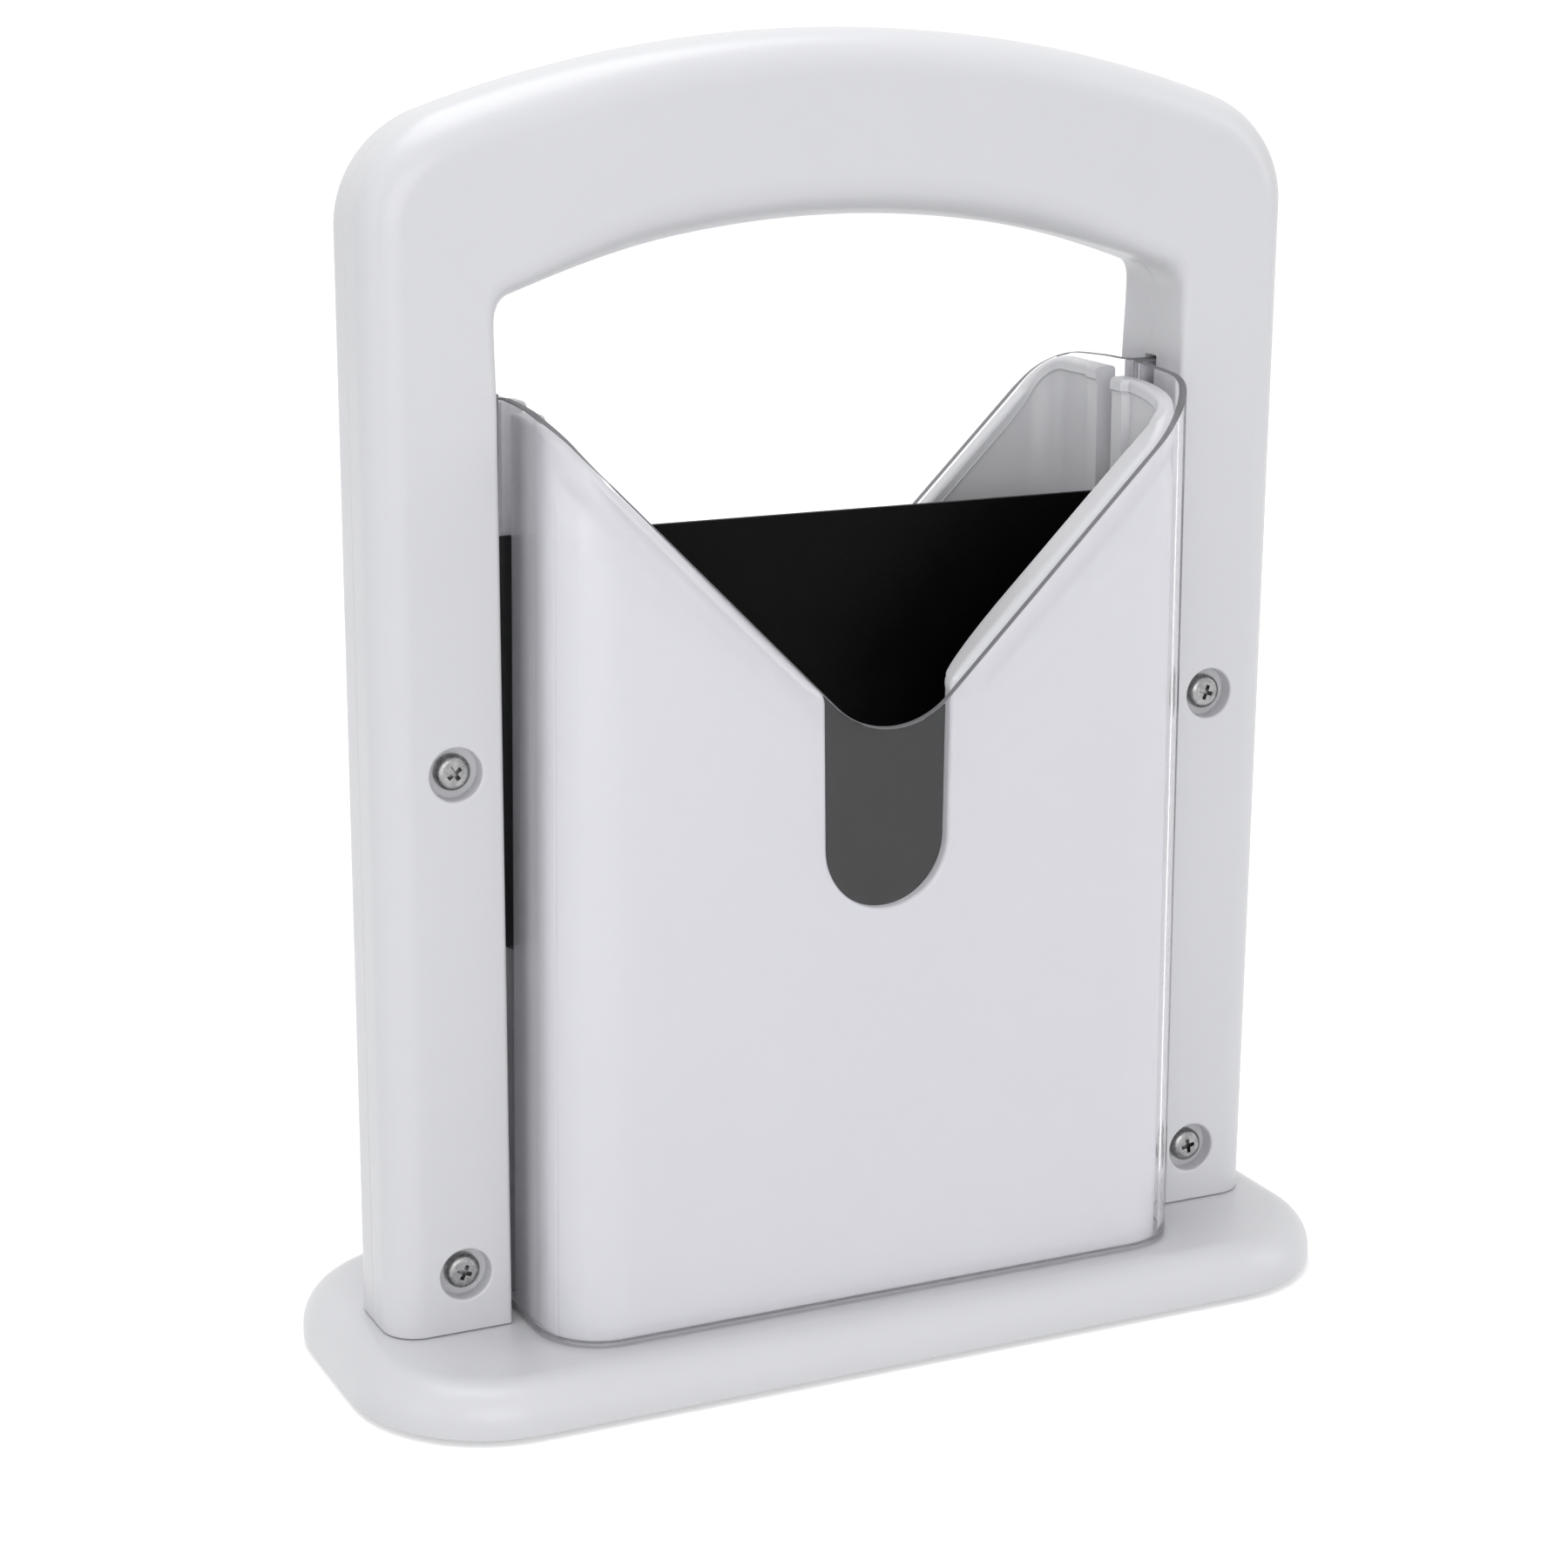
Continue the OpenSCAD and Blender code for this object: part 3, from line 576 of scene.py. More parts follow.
def shell_edge(apex, top, radius, rolled):
    """The right half of the edge: slot, corner into the mouth, slope, shoulder and jamb."""
    shoulder = shoulder_edge(top, apex, radius, run_to(BLADE_GAP / 2))
    corner_x = SLOT_HALF_W + SLOT_FLARE + JUNCTION_R
    corner_z = apex + corner_x - math.sqrt(2) * JUNCTION_R
    start_x, start_z = corner_x - JUNCTION_R * SLOPE, corner_z + JUNCTION_R * SLOPE
    length = shoulder[0][0] - start_x
    edge = []
    for a in span(-math.pi / 2, 0, 16):
        x, z = SLOT_HALF_W * math.cos(a), SLOT_CENTRE + SLOT_HALF_W * math.sin(a)
        edge.append((x, z, math.cos(a), math.sin(a), 0))
    for a in span(math.pi / 2, math.pi / 4, 8):
        x, z = corner_x - JUNCTION_R * math.sin(a), corner_z + JUNCTION_R * math.cos(a)
        edge.append((x, z, math.sin(a), -math.cos(a), JUNCTION_LIP * (2 - 4 * a / math.pi)))
    for b in span(0, math.pi / 2, 14)[1:]:
        on = LIP_RUN_OUT * (1 - math.cos(b))
        edge.append((start_x + on, start_z + on, SLOPE, -SLOPE, mix(JUNCTION_LIP, 1, math.sin(b))))
    turn_at = min(1, (FRONT_RUN - start_x) / length)
    for t in [*span(LIP_RUN_OUT / length, turn_at, 6)[1:], *span(turn_at, 1, 5)[1:]]:
        edge.append((start_x + length * t, start_z + length * t, SLOPE, -SLOPE, 1))
    return [(*place, rolled * lip * lip_left(place[0])) for *place, lip in edge + shoulder[1:]]


# %% [markdown]
# One ring of the shell is one line: up the outside of the wall, over the lip and back down the
# inside. The outside has a low bead along the mouth with a shallow cove below it. Between slot
# and floor the lines from the slot's straight sides would lie on top of one another, so each
# leans outwards on its way down, and more so the higher it starts.

# %% One ring of the shell
# The lip's back edge lies LIP_SETBACK in front of the corner's centre, and is LIP_T high. Where
# the lip has run out, a rim RIM_DEPTH deep is left. The roll between outside and lip is widest
# across the front, smaller on the end wall and smallest where the edge is plain.
LIP_SETBACK, LIP_T = 2.1 * MM, 2.2 * MM
TIP_ROUND, TIP_TURN = 1 * MM, 2.5 * MM
RIM_DEPTH = 0.4 * MM
ROLL_R, RIM_ROLL_R, PLAIN_ROLL_R = 2.6 * MM, 1.8 * MM, 0.8 * MM
BEAD_W, PLAIN_W = 12 * MM, 1.6 * MM
BEAD_H, COVE_DEPTH = 0.4 * MM, 0.7 * MM
BEAD_FLAT, COVE_AT = 3.2 * MM, 6.8 * MM
FILLET = 1 * MM
LEAN, LEAN_FROM, LEAN_OVER = 0.06, 13 * MM, 27 * MM


def tip_point(run, z):
    """The lip's back edge: in one plane across the front, then round and along the end wall."""
    past, radius = abs(run) - FRONT_RUN, corner_radius(z)
    reach = radius - wall_at(run) - RIM_DEPTH - TIP_TURN
    turn_from = SHELL_CORNER * math.asin(reach / radius)
    turn_to = CORNER_RUN - LIP_SETBACK + TIP_TURN
    turn = math.pi / 2 * min(1, max(0, (past - turn_from) / (turn_to - turn_from)))
    if past < turn_from:
        x = min(abs(run), FRONT_RUN) + radius * math.sin(corner_angle(run))
    else:
        x = FRONT_RUN + reach + TIP_TURN * math.sin(turn)
    y = SHELL_CORNER - SHELL_FACE - LIP_SETBACK + TIP_TURN * (1 - math.cos(turn)) + max(0, past - turn_to)
    return Vector((math.copysign(x, run), y, z))


def shell_ring(entry):
    """One line of the shell: up the outside, over the lip and down the inside."""
    run, z, to_run, to_z, lip = entry
    wall = wall_at(run)
    full = mix(ROLL_R, RIM_ROLL_R, corner_angle(run) / (math.pi / 2))
    roll, width = mix(PLAIN_ROLL_R, full, lip), mix(PLAIN_W, BEAD_W, lip)

    def at(depth, inset):
        """A point of the wall, at a depth below the edge."""
        return wall_point(run + to_run * depth, z + to_z * depth, inset)

    def bead(depth):
        """How far the bead stands out at a depth, or how deep the cove is."""
        flank = ease((depth - BEAD_FLAT) / (COVE_AT - BEAD_FLAT))
        back = ease((depth - COVE_AT) / (BEAD_W - COVE_AT))
        height = BEAD_H * ease(depth / BEAD_FLAT) * (1 - flank) - COVE_DEPTH * flank * (1 - back)
        return height * max(0, 2 * lip - 1)

    def tip(depth, pull):
        """A point of the lip's back edge, pulled towards the roll to round it."""
        back = tip_point(run + to_run * depth, z + to_z * depth)
        back = at(depth, wall + RIM_DEPTH).lerp(back, lip)
        rolled = at(depth, roll)
        return back.lerp(rolled, pull * TIP_ROUND / (back - rolled).length)

    def wall_foot(depth, inset):
        """The point on the floor below, leaning away from the slot."""
        reach = run + to_run * depth
        lean = LEAN * max(0, z + to_z * depth - SLOT_CENTRE)
        lean *= 1 - min(1, max(0, (abs(reach) - LEAN_FROM) / LEAN_OVER))
        return wall_point(reach + math.copysign(lean, reach), FLOOR_Z, inset)

    ring = [wall_foot(width, 0)]
    ring += [at(depth, -bead(depth)) for depth in span(width, roll, 16)]
    for a in span(0, math.pi / 2, 7)[1:]:
        depth = roll * (1 - math.sin(a))
        ring.append(at(depth, roll * (1 - math.cos(a)) - bead(depth)))
    ring += [tip(TIP_ROUND * (1 - math.cos(a)), 1 - math.sin(a)) for a in span(0, math.pi / 2, 5)]
    # The lip's lower corner, then the fillet between its underside and the inside of the wall.
    ring += [tip(LIP_T, 0), at(LIP_T, wall + 0.6 * FILLET), at(LIP_T + 0.4 * FILLET, wall + 0.15 * FILLET)]
    ring += [at(LIP_T + FILLET, wall), wall_foot(LIP_T + FILLET, wall)]
    return ring


# %% [markdown]
# A shell has two bosses inside, each with a pilot hole for a screw from under the base. The
# rear shell is made in front like the other one, and mirrored across the blade at the end. The
# heights of the mouths were read from the photograph, downwards from the top of the shells.

# %% Both shells
boss_low, boss_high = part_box("base_screws")
BOSS_X, BOSS_Y = boss_high.x - HEAD_R, boss_high.y - HEAD_R
BOSS_R, BOSS_H, BOSS_ROUND = 4.6 * MM, 14 * MM, 0.5 * MM
BOSS_GAP = 0.2 * MM
PILOT_L = 12 * MM
MOUTH_APEX, REAR_APEX = SHELL_TOP - 64.1 * MM, SHELL_TOP - 60 * MM
MOUTH_SHOULDER_R, REAR_SHOULDER_R = 40 * MM, 18 * MM
FRONT_TOP, REAR_TOP = SHELL_TOP - 2.6 * MM, SHELL_TOP - 1.4 * MM


def mirrored(piece):
    """Turns a front piece into a rear one."""
    only(piece)
    bpy.ops.transform.mirror(constraint_axis=(False, True, False))
    bpy.ops.object.transform_apply(location=True, rotation=True, scale=True)


def shell(name, apex, top, radius, rolled, node):
    """A shell with its bosses. Rolled is 1 for an edge with a lip and 0 for a plain one."""
    edge = both_sides(shell_edge(apex, top, radius, rolled))
    piece = skinned(name, [shell_ring(entry) for entry in edge])
    for x in (-BOSS_X, BOSS_X):
        start = Vector((x, -BOSS_Y, FLOOR_Z + BOSS_GAP))
        boss = rod("boss", start, start + up(BOSS_H), BOSS_R, 32)
        bevel(boss, lambda e: middle(e).z > FLOOR_Z + BOSS_H and not along(e, 2), BOSS_ROUND, 3)
        combine(piece, boss, "UNION")
        pilot = start - up(PAST)
        combine(piece, rod("pilot", pilot, pilot + up(PILOT_L), SHANK_R, 24), "DIFFERENCE")
    if node == "rear_shell":
        mirrored(piece)
    placed(finished(piece), WHITE, "white_plastic", "holder", node)


shell("front_shell_moulding", MOUTH_APEX, FRONT_TOP, MOUTH_SHOULDER_R, 1, "front_shell")
shell("rear_shell_moulding", REAR_APEX, REAR_TOP, REAR_SHOULDER_R, 0, "rear_shell")

# %% [markdown]
# ## The handle
#
# The handle is two moulded halves with a flat joint between them. Its outline is made of
# arcs: a long arched grip, round shoulders, straight legs, and a flatter arch under the grip.
# The rounding of its edges isn't the same all the way: the palm feels a full one along the
# grip, and the inside of the legs stays crisp beside the shields. So the outline is repeated
# in layers from the joint to the front face, and each point draws in by its own rounding.

# %% The handle's outline
HALF_T = -handle_low.y
HALF_W = handle_high.x
LEG_FOOT = handle_low.z
GRIP_TOP = handle_high.z
GRIP_UNDER = GRIP_TOP - 31.7 * MM
LEG_W = 22.4 * MM
INNER_X = HALF_W - LEG_W
TOP_ARC, UNDER_ARC = 232 * MM, 187.5 * MM
SHOULDER_R, INNER_CORNER_R = 20.5 * MM, 5 * MM
GRIP_ROUND, LEG_ROUND, CRISP_ROUND = 8 * MM, 6.5 * MM, 0.8 * MM
ROUND_FADE = 16 * MM
SEAM = 0.22 * MM
LEG_END_ROUND = mix(CRISP_ROUND, GRIP_ROUND, 0.15)
GRIP_START_ROUND = mix(CRISP_ROUND, GRIP_ROUND, 0.5)


def arc(centre, radius, angles, turned, rounding):
    """Points of an arc, at angles from straight up, each with its normal and rounding."""
    points = []
    for a in angles:
        normal = Vector((math.sin(a), math.cos(a)))
        points.append((Vector(centre) + radius * normal, normal * turned, rounding(a)))
    return points


def handle_outline():
    """The right half of the outline, from the top of the grip round to its underside. Two arcs
    that touch meet at the same angle, so they run into each other without a corner."""
    top_z = GRIP_TOP - TOP_ARC
    shoulder_x = HALF_W - SHOULDER_R
    shoulder_z = top_z + math.sqrt((TOP_ARC - SHOULDER_R) ** 2 - shoulder_x**2)
    meet = math.atan2(shoulder_x, shoulder_z - top_z)
    under_z = GRIP_UNDER - UNDER_ARC
    corner_x = INNER_X - INNER_CORNER_R
    corner_z = under_z + math.sqrt((UNDER_ARC - INNER_CORNER_R) ** 2 - corner_x**2)
    inner_meet = math.atan2(corner_x, corner_z - under_z)
    quarter = math.pi / 2

    def shoulder_round(a):
        return mix(GRIP_ROUND, LEG_ROUND, ease((a - meet) / (quarter - meet)))

    def corner_round(a):
        return mix(LEG_END_ROUND, GRIP_START_ROUND, ease((quarter - a) / (quarter - inner_meet)))

    def under_round(a):
        return mix(GRIP_START_ROUND, GRIP_ROUND, ease(2 * (inner_meet - a) / inner_meet))

    outline = arc((0, top_z), TOP_ARC, span(0, meet, 24), 1, lambda a: GRIP_ROUND)
    outline += arc((shoulder_x, shoulder_z), SHOULDER_R, span(meet, quarter, 22)[1:], 1, shoulder_round)
    outline.append((Vector((HALF_W, LEG_FOOT)), Vector((1, 0)), LEG_ROUND))
    outline.append((Vector((INNER_X, LEG_FOOT)), Vector((-1, 0)), CRISP_ROUND))
    for t in span(1, 0.1, 9):
        place = Vector((INNER_X, corner_z - t * ROUND_FADE))
        outline.append((place, Vector((-1, 0)), mix(LEG_END_ROUND, CRISP_ROUND, ease(t))))
    outline += arc((corner_x, corner_z), INNER_CORNER_R, span(quarter, inner_meet, 12), -1, corner_round)
    outline += arc((0, under_z), UNDER_ARC, span(inner_meet, 0, 24)[1:], -1, under_round)
    return outline


def whole_outline():
    """The outline all round, the left half mirrored from the right one."""
    right = handle_outline()
    left = [(Vector((-p.x, p.y)), Vector((-n.x, n.y)), r) for p, n, r in reversed(right[1:-1])]
    return right + left


# %% [markdown]
# The halves meet in a joint that is just visible: each edge there has a tiny chamfer, and the
# two together make a fine groove. The front half has a deep round recess for each screw, and
# both halves have a pocket for the shields' flanges and the blade's ears.

# %% The two halves of the handle
RECESS_R, RECESS_DEPTH = 4.75 * MM, 3.2 * MM
RECESS_EDGE = 0.45 * MM
POCKET_CLEARANCE, POCKET_SLACK = 0.1 * MM, 0.05 * MM
POCKET_DEPTH = BLADE_T / 2 + SHIELD_T + POCKET_SLACK
PILOT_FLOOR = 1.8 * MM
FLANGE_REACH = shield_high.x


def handle_layers():
    """The outline, repeated from the joint to the front face."""
    outline = whole_outline()
    layers = [[Vector((p.x - n.x * SEAM, 0, p.y - n.y * SEAM)) for p, n, _ in outline]]
    layers.append([Vector((p.x, -SEAM, p.y)) for p, n, _ in outline])
    for f in span(0, math.pi / 2, 10):
        layer = []
        for p, n, r in outline:
            drawn = r * (1 - math.cos(f))
            layer.append(Vector((p.x - n.x * drawn, r - HALF_T - r * math.sin(f), p.y - n.y * drawn)))
        layers.append(layer)
    return layers


def cut_pocket(piece, side):
    """Cuts the room for the flanges and the blade's ear out of one leg."""
    near, far = sorted((side * (INNER_X - PAST), side * (FLANGE_REACH + POCKET_CLEARANCE)))
    top = shield_high.z + POCKET_CLEARANCE
    pocket = block("pocket", (near, -POCKET_DEPTH, LEG_FOOT - PAST), (far, PAST, top))
    combine(piece, pocket, "DIFFERENCE")


def cut_screw_hole(piece, side, z, front):
    """Cuts a screw's recess and hole into the front half, or its pilot hole into the rear one."""
    centre = Vector((side * SCREW_X, 0, z))
    mouth, back = centre + Vector((0, -HALF_T - PAST, 0)), centre + Vector((0, PAST, 0))
    if front:
        recess_floor = centre + Vector((0, RECESS_DEPTH - HALF_T, 0))
        combine(piece, rod("recess", mouth, recess_floor, RECESS_R, 64), "DIFFERENCE")
        combine(piece, rod("hole", mouth, back, SHANK_R + SHANK_CLEARANCE, 32), "DIFFERENCE")
    else:
        deep = centre + Vector((0, PILOT_FLOOR - HALF_T, 0))
        combine(piece, rod("pilot", deep, back, SHANK_R, 32), "DIFFERENCE")


def recess_rim(edge):
    """True for the edges round a recess on the front face."""
    on_face = all(abs(v.co.y + HALF_T) < 2 * NEAR for v in edge.verts)
    place = Vector((abs(edge.verts[0].co.x), edge.verts[0].co.z))
    return on_face and any(abs((place - Vector((SCREW_X, z))).length - RECESS_R) < 5 * NEAR for z in SCREW_ZS)


def handle_half(name, node, front):
    """One half of the handle, made in front and mirrored if it is the rear one."""
    piece = skinned(name, handle_layers())
    for side in (-1, 1):
        cut_pocket(piece, side)
        for z in SCREW_ZS:
            cut_screw_hole(piece, side, z, front)
    if front:
        print("recess rims", bevel(piece, recess_rim, RECESS_EDGE, 4))
    else:
        mirrored(piece)
    placed(finished(piece), WHITE, "white_plastic", "handle", node)


handle_half("handle_front_moulding", "handle_front", True)
handle_half("handle_rear_moulding", "handle_rear", False)

# %% [markdown]
# ## The blade
#
# The blade is one sheet with an ear at each end that the handle clamps. Its body is a grid of
# rings across the sheet, with the ground bevel and scalloped teeth along the bottom. The ears
# are then pulled out of its ends by extruding, and their corners bevelled.

# %% The blade's sheet
BLADE_TOP = blade_high.z
BLADE_INSET = 3 * MM
BLADE_HALF_W = SHELL_HALF_W - BLADE_INSET
EAR_X, EAR_BOTTOM = blade_high.x, BLADE_TOP - 73.5 * MM
TOOTH_LOW = blade_low.z
TOOTH_PITCH, TOOTH_DEPTH = 4 * MM, 1.4 * MM
BEVEL_H, EDGE_RISE = 4 * MM, 15 * MM
TEETH = math.floor(2 * BLADE_HALF_W / TOOTH_PITCH)
TOOTH_STEPS = 6
EDGE_HALF_T = 0.08 * MM


def tooth_root(x):
    """The height that the teeth start from, which rises towards the ends."""
    return TOOTH_LOW + TOOTH_DEPTH + EDGE_RISE * (x / BLADE_HALF_W) ** 2


def blade_ring(i):
    """One ring across the sheet, a sixth of a tooth further on each time."""
    x = -BLADE_HALF_W + 2 * BLADE_HALF_W * i / (TEETH * TOOTH_STEPS)
    root = tooth_root(x)
    tip = root - TOOTH_DEPTH * (1 - abs(math.cos(math.pi * i / TOOTH_STEPS)))
    half = BLADE_T / 2
    side = [(half, BLADE_TOP), (half, EAR_BOTTOM), (half, root + BEVEL_H), (EDGE_HALF_T, tip)]
    return [Vector((x, -y, z)) for y, z in side] + [Vector((x, y, z)) for y, z in reversed(side)]


# %% [markdown]
# The two ends of the sheet are left open, and each is closed by two faces. The upper one is
# the foot of the ear, so it is picked and pulled out. The ears' corners are then cut, and the
# corner below each ear is rounded, because a sharp one would crack.

# %% Ears, holes and finish of the blade
EAR_TOP_CUT, EAR_BOTTOM_CUT, EAR_FILLET = 2 * MM, 6 * MM, 4 * MM
GROUND_TILT = 0.02


def end_points(end, low, high):
    """A test for the points of one end of the sheet between two heights."""
    return lambda v: abs(v.co.x - end) < NEAR and low - NEAR < v.co.z < high + NEAR


def ear_foot(end):
    """A test for the upper face of one end."""
    return lambda f: abs(f.calc_center_median().x - end) < NEAR and f.calc_center_median().z > EAR_BOTTOM


def ear_corner(x, z):
    """A test for the edges across the sheet at a corner, on both sides."""

    def test(edge):
        place = middle(edge)
        return along(edge, 1) and abs(abs(place.x) - x) < 2 * NEAR and abs(place.z - z) < 2 * NEAR

    return test


def blade():
    """The sheet with its ears, coated all over and ground along the teeth."""
    sheet = [blade_ring(i) for i in range(TEETH * TOOTH_STEPS + 1)]
    piece = skinned("blade_sheet", sheet, capped=False)
    only(piece)
    bpy.ops.object.mode_set(mode="EDIT")
    for end in (-BLADE_HALF_W, BLADE_HALF_W):
        for low, high in ((EAR_BOTTOM, BLADE_TOP), (0, EAR_BOTTOM)):
            pick("VERT", end_points(end, low, high))
            bpy.ops.mesh.edge_face_add()
        pick("FACE", ear_foot(end))
        out = math.copysign(EAR_X - BLADE_HALF_W, end)
        bpy.ops.mesh.extrude_region_move(TRANSFORM_OT_translate={"value": (out, 0, 0)})
    bpy.ops.object.mode_set(mode="OBJECT")
    bevel(piece, ear_corner(EAR_X, BLADE_TOP), EAR_TOP_CUT, 1)
    bevel(piece, ear_corner(EAR_X, EAR_BOTTOM), EAR_BOTTOM_CUT, 1)
    bevel(piece, ear_corner(BLADE_HALF_W, EAR_BOTTOM), EAR_FILLET, 8)
    for side in (-1, 1):
        place = Vector((side * SCREW_X, 0, SCREW_ZS[1]))
        step = Vector((0, PAST, 0))
        hole = rod("hole", place - step, place + step, SHANK_R + SHANK_CLEARANCE, 32)
        combine(piece, hole, "DIFFERENCE")
    finished(piece, 20)
    piece.data.materials.append(COATING)
    piece.data.materials.append(GROUND)
    for face in piece.data.polygons:
        sloping = GROUND_TILT < abs(face.normal.z) and abs(face.center.x) < BLADE_HALF_W
        face.material_index = int(sloping and face.center.z < tooth_root(face.center.x) + BEVEL_H)
    placed(piece, COATING, "blade_coating", "handle", "blade")


blade()

# %% [markdown]
# ## The clear shields
#
# Each shield is a sheet that covers a shell at an even gap, ends in a V mouth of its own with
# a round bottom, and turns out at each side into a flat flange for the leg to clamp. Its top
# edge rises a little from the shoulder to the flange. One ring is the section of the sheet,
# with its cut edge slightly softened.

# %% The shields' edge and section
SHIELD_LOW = shield_low.z
SHIELD_TOP, SHIELD_TOP_RISE = SHELL_TOP - 1.2 * MM, 1.2 * MM
SHIELD_SETBACK = 0.3 * MM
SHIELD_SHOULDER_R, SHIELD_MOUTH_R = 16 * MM, 15.6 * MM
SHIELD_GAP = 0.8 * MM
SOFT_EDGE = 0.3 * MM
BEND = 1.2 * MM
FLANGE_OUT = BLADE_T / 2 + SHIELD_T


def shield_edge(apex):
    """The right half of a shield's edge, from the bottom of the mouth to the bend."""
    centre = apex + math.sqrt(2) * SHIELD_MOUTH_R
    shoulder = shoulder_edge(SHIELD_TOP, apex, SHIELD_SHOULDER_R, run_to(FLANGE_OUT + BEND))
    edge = []
    for a in span(0, math.pi / 4, 12):
        x, z = SHIELD_MOUTH_R * math.sin(a), centre - SHIELD_MOUTH_R * math.cos(a)
        edge.append((x, z, math.sin(a), -math.cos(a), 1))
    for x in [*span(SHIELD_MOUTH_R * SLOPE, FRONT_RUN, 6)[1:], *span(FRONT_RUN, shoulder[0][0], 6)[1:]]:
        edge.append((x, apex + x, SLOPE, -SLOPE, 1))
    rise_from, end = shoulder[0][0], shoulder[-1][0]
    for run, z, to_run, to_z, lip in shoulder[1:]:
        rise = SHIELD_TOP_RISE * ease((run - rise_from) / (end - rise_from))
        edge.append((run, z + rise, to_run, to_z, lip))
    return edge


def section(outer, inner):
    """One ring round the sheet. Outer and inner give a face's point at a depth below the cut
    edge, drawn in by the softening, or at the sheet's foot for no depth."""
    ring = [outer(None, 0)]
    for a in span(0, math.pi / 2, 3):
        ring.append(outer(SOFT_EDGE * (1 - math.sin(a)), SOFT_EDGE * (1 - math.cos(a))))
    for a in span(math.pi / 2, 0, 3):
        ring.append(inner(SOFT_EDGE * (1 - math.sin(a)), SOFT_EDGE * (1 - math.cos(a))))
    return [*ring, inner(None, 0)]


def shield_ring(entry):
    """A ring of the part that follows the shell's wall."""
    run, z, to_run, to_z, _ = entry

    def face(depth, inset):
        if depth is None:
            return wall_point(run + to_run * SOFT_EDGE, SHIELD_LOW, inset)
        return wall_point(run + to_run * depth, z + to_z * depth, inset)

    return section(
        lambda depth, drawn: face(depth, drawn - SHIELD_GAP - SHIELD_T),
        lambda depth, drawn: face(depth, -SHIELD_GAP - drawn),
    )


def flange_ring(side, angle, reach):
    """A ring past the end wall: round the bend for its angle, or out at a reach along the flange."""

    def face(depth, radius):
        z = SHIELD_LOW if depth is None else SHIELD_TOP + SHIELD_TOP_RISE - depth
        outer_x = abs(wall_point(run_to(FLANGE_OUT + BEND), z, -SHIELD_GAP - SHIELD_T).x)
        x = outer_x + BEND - radius * math.cos(angle) if reach is None else reach
        return Vector((side * x, -FLANGE_OUT - BEND + radius * math.sin(angle), z))

    return section(
        lambda depth, drawn: face(depth, BEND + drawn),
        lambda depth, drawn: face(depth, BEND + SHIELD_T - drawn),
    )


# %% Both shields
HOLE_L = 4 * MM
EDGE_SHADE_TILT = 0.25


def shield(name, apex, node):
    """A shield with its screw holes, clear on its faces, with painted shade on its cut edges."""
    bends = [(a, None) for a in span(0, math.pi / 2, 6)] + [(math.pi / 2, FLANGE_REACH)]
    rings = [flange_ring(-1, a, reach) for a, reach in reversed(bends)]
    rings += [shield_ring(entry) for entry in both_sides(shield_edge(apex))[1:-1]]
    rings += [flange_ring(1, a, reach) for a, reach in bends]
    piece = skinned(name, rings)
    for side in (-1, 1):
        for z in SCREW_ZS:
            place = Vector((side * SCREW_X, 0, z))
            start = place - Vector((0, HOLE_L, 0))
            combine(piece, rod("hole", start, place, SHANK_R + SHANK_CLEARANCE, 32), "DIFFERENCE")
    if node == "rear_shield":
        mirrored(piece)
    finished(piece, 40)
    piece.data.materials.append(CLEAR)
    piece.data.materials.append(EDGE_SHADE_FINISH)
    # Faces that tilt up or down are the cut edges, which get the painted edge shade.
    for face in piece.data.polygons:
        face.material_index = int(abs(face.normal.z) > EDGE_SHADE_TILT)
    placed(piece, CLEAR, "clear_plastic", "handle", node)


shield("front_shield_sheet", MOUTH_APEX - SHIELD_SETBACK, "front_shield")
shield("rear_shield_sheet", REAR_APEX - SHIELD_SETBACK, "rear_shield")

# %% [markdown]
# ## Screws
#
# A screw is modelled once and copied. Its head starts as a cylinder whose rim is bevelled into
# a low dome, with a tapered cross cut into it. The thread winds round the shank by a rule: the
# radius rises and falls once a turn, a little further along at every step of the angle.

# %% One screw
SCREW_L = 14 * MM
THREAD_PITCH, THREAD_DEPTH, THREAD_FADE = 1.1 * MM, 0.28 * MM, 1.5 * MM
THREAD_SIDES, THREAD_RINGS = 20, 104
POINT_L, POINT_SHARE = 1.5 * MM, 0.12
SHANK_SINK = 0.3 * MM
DOME_R = 1.25 * MM
CROSS_HALF_L, CROSS_HALF_W, CROSS_DEPTH = 1.72 * MM, 0.45 * MM, 1.25 * MM
CROSS_TAPER = (0.62, 0.7, 1)


def thread_ring(z):
    """A ring of the shank at a height, with the thread's crest on one side of it."""
    ring = []
    for i in range(THREAD_SIDES):
        turn = i / THREAD_SIDES
        wave = abs(2 * ((z / THREAD_PITCH - turn) % 1) - 1)
        radius = SHANK_R - THREAD_DEPTH * (1 - max(0, 2 * wave - 1))
        taper = min(1, max(POINT_SHARE, (SCREW_L - z) / POINT_L))
        radius = mix(SHANK_R - THREAD_DEPTH, radius, ease(z / THREAD_FADE)) * taper
        angle = 2 * math.pi * turn
        ring.append(Vector((radius * math.cos(angle), radius * math.sin(angle), z)))
    return ring


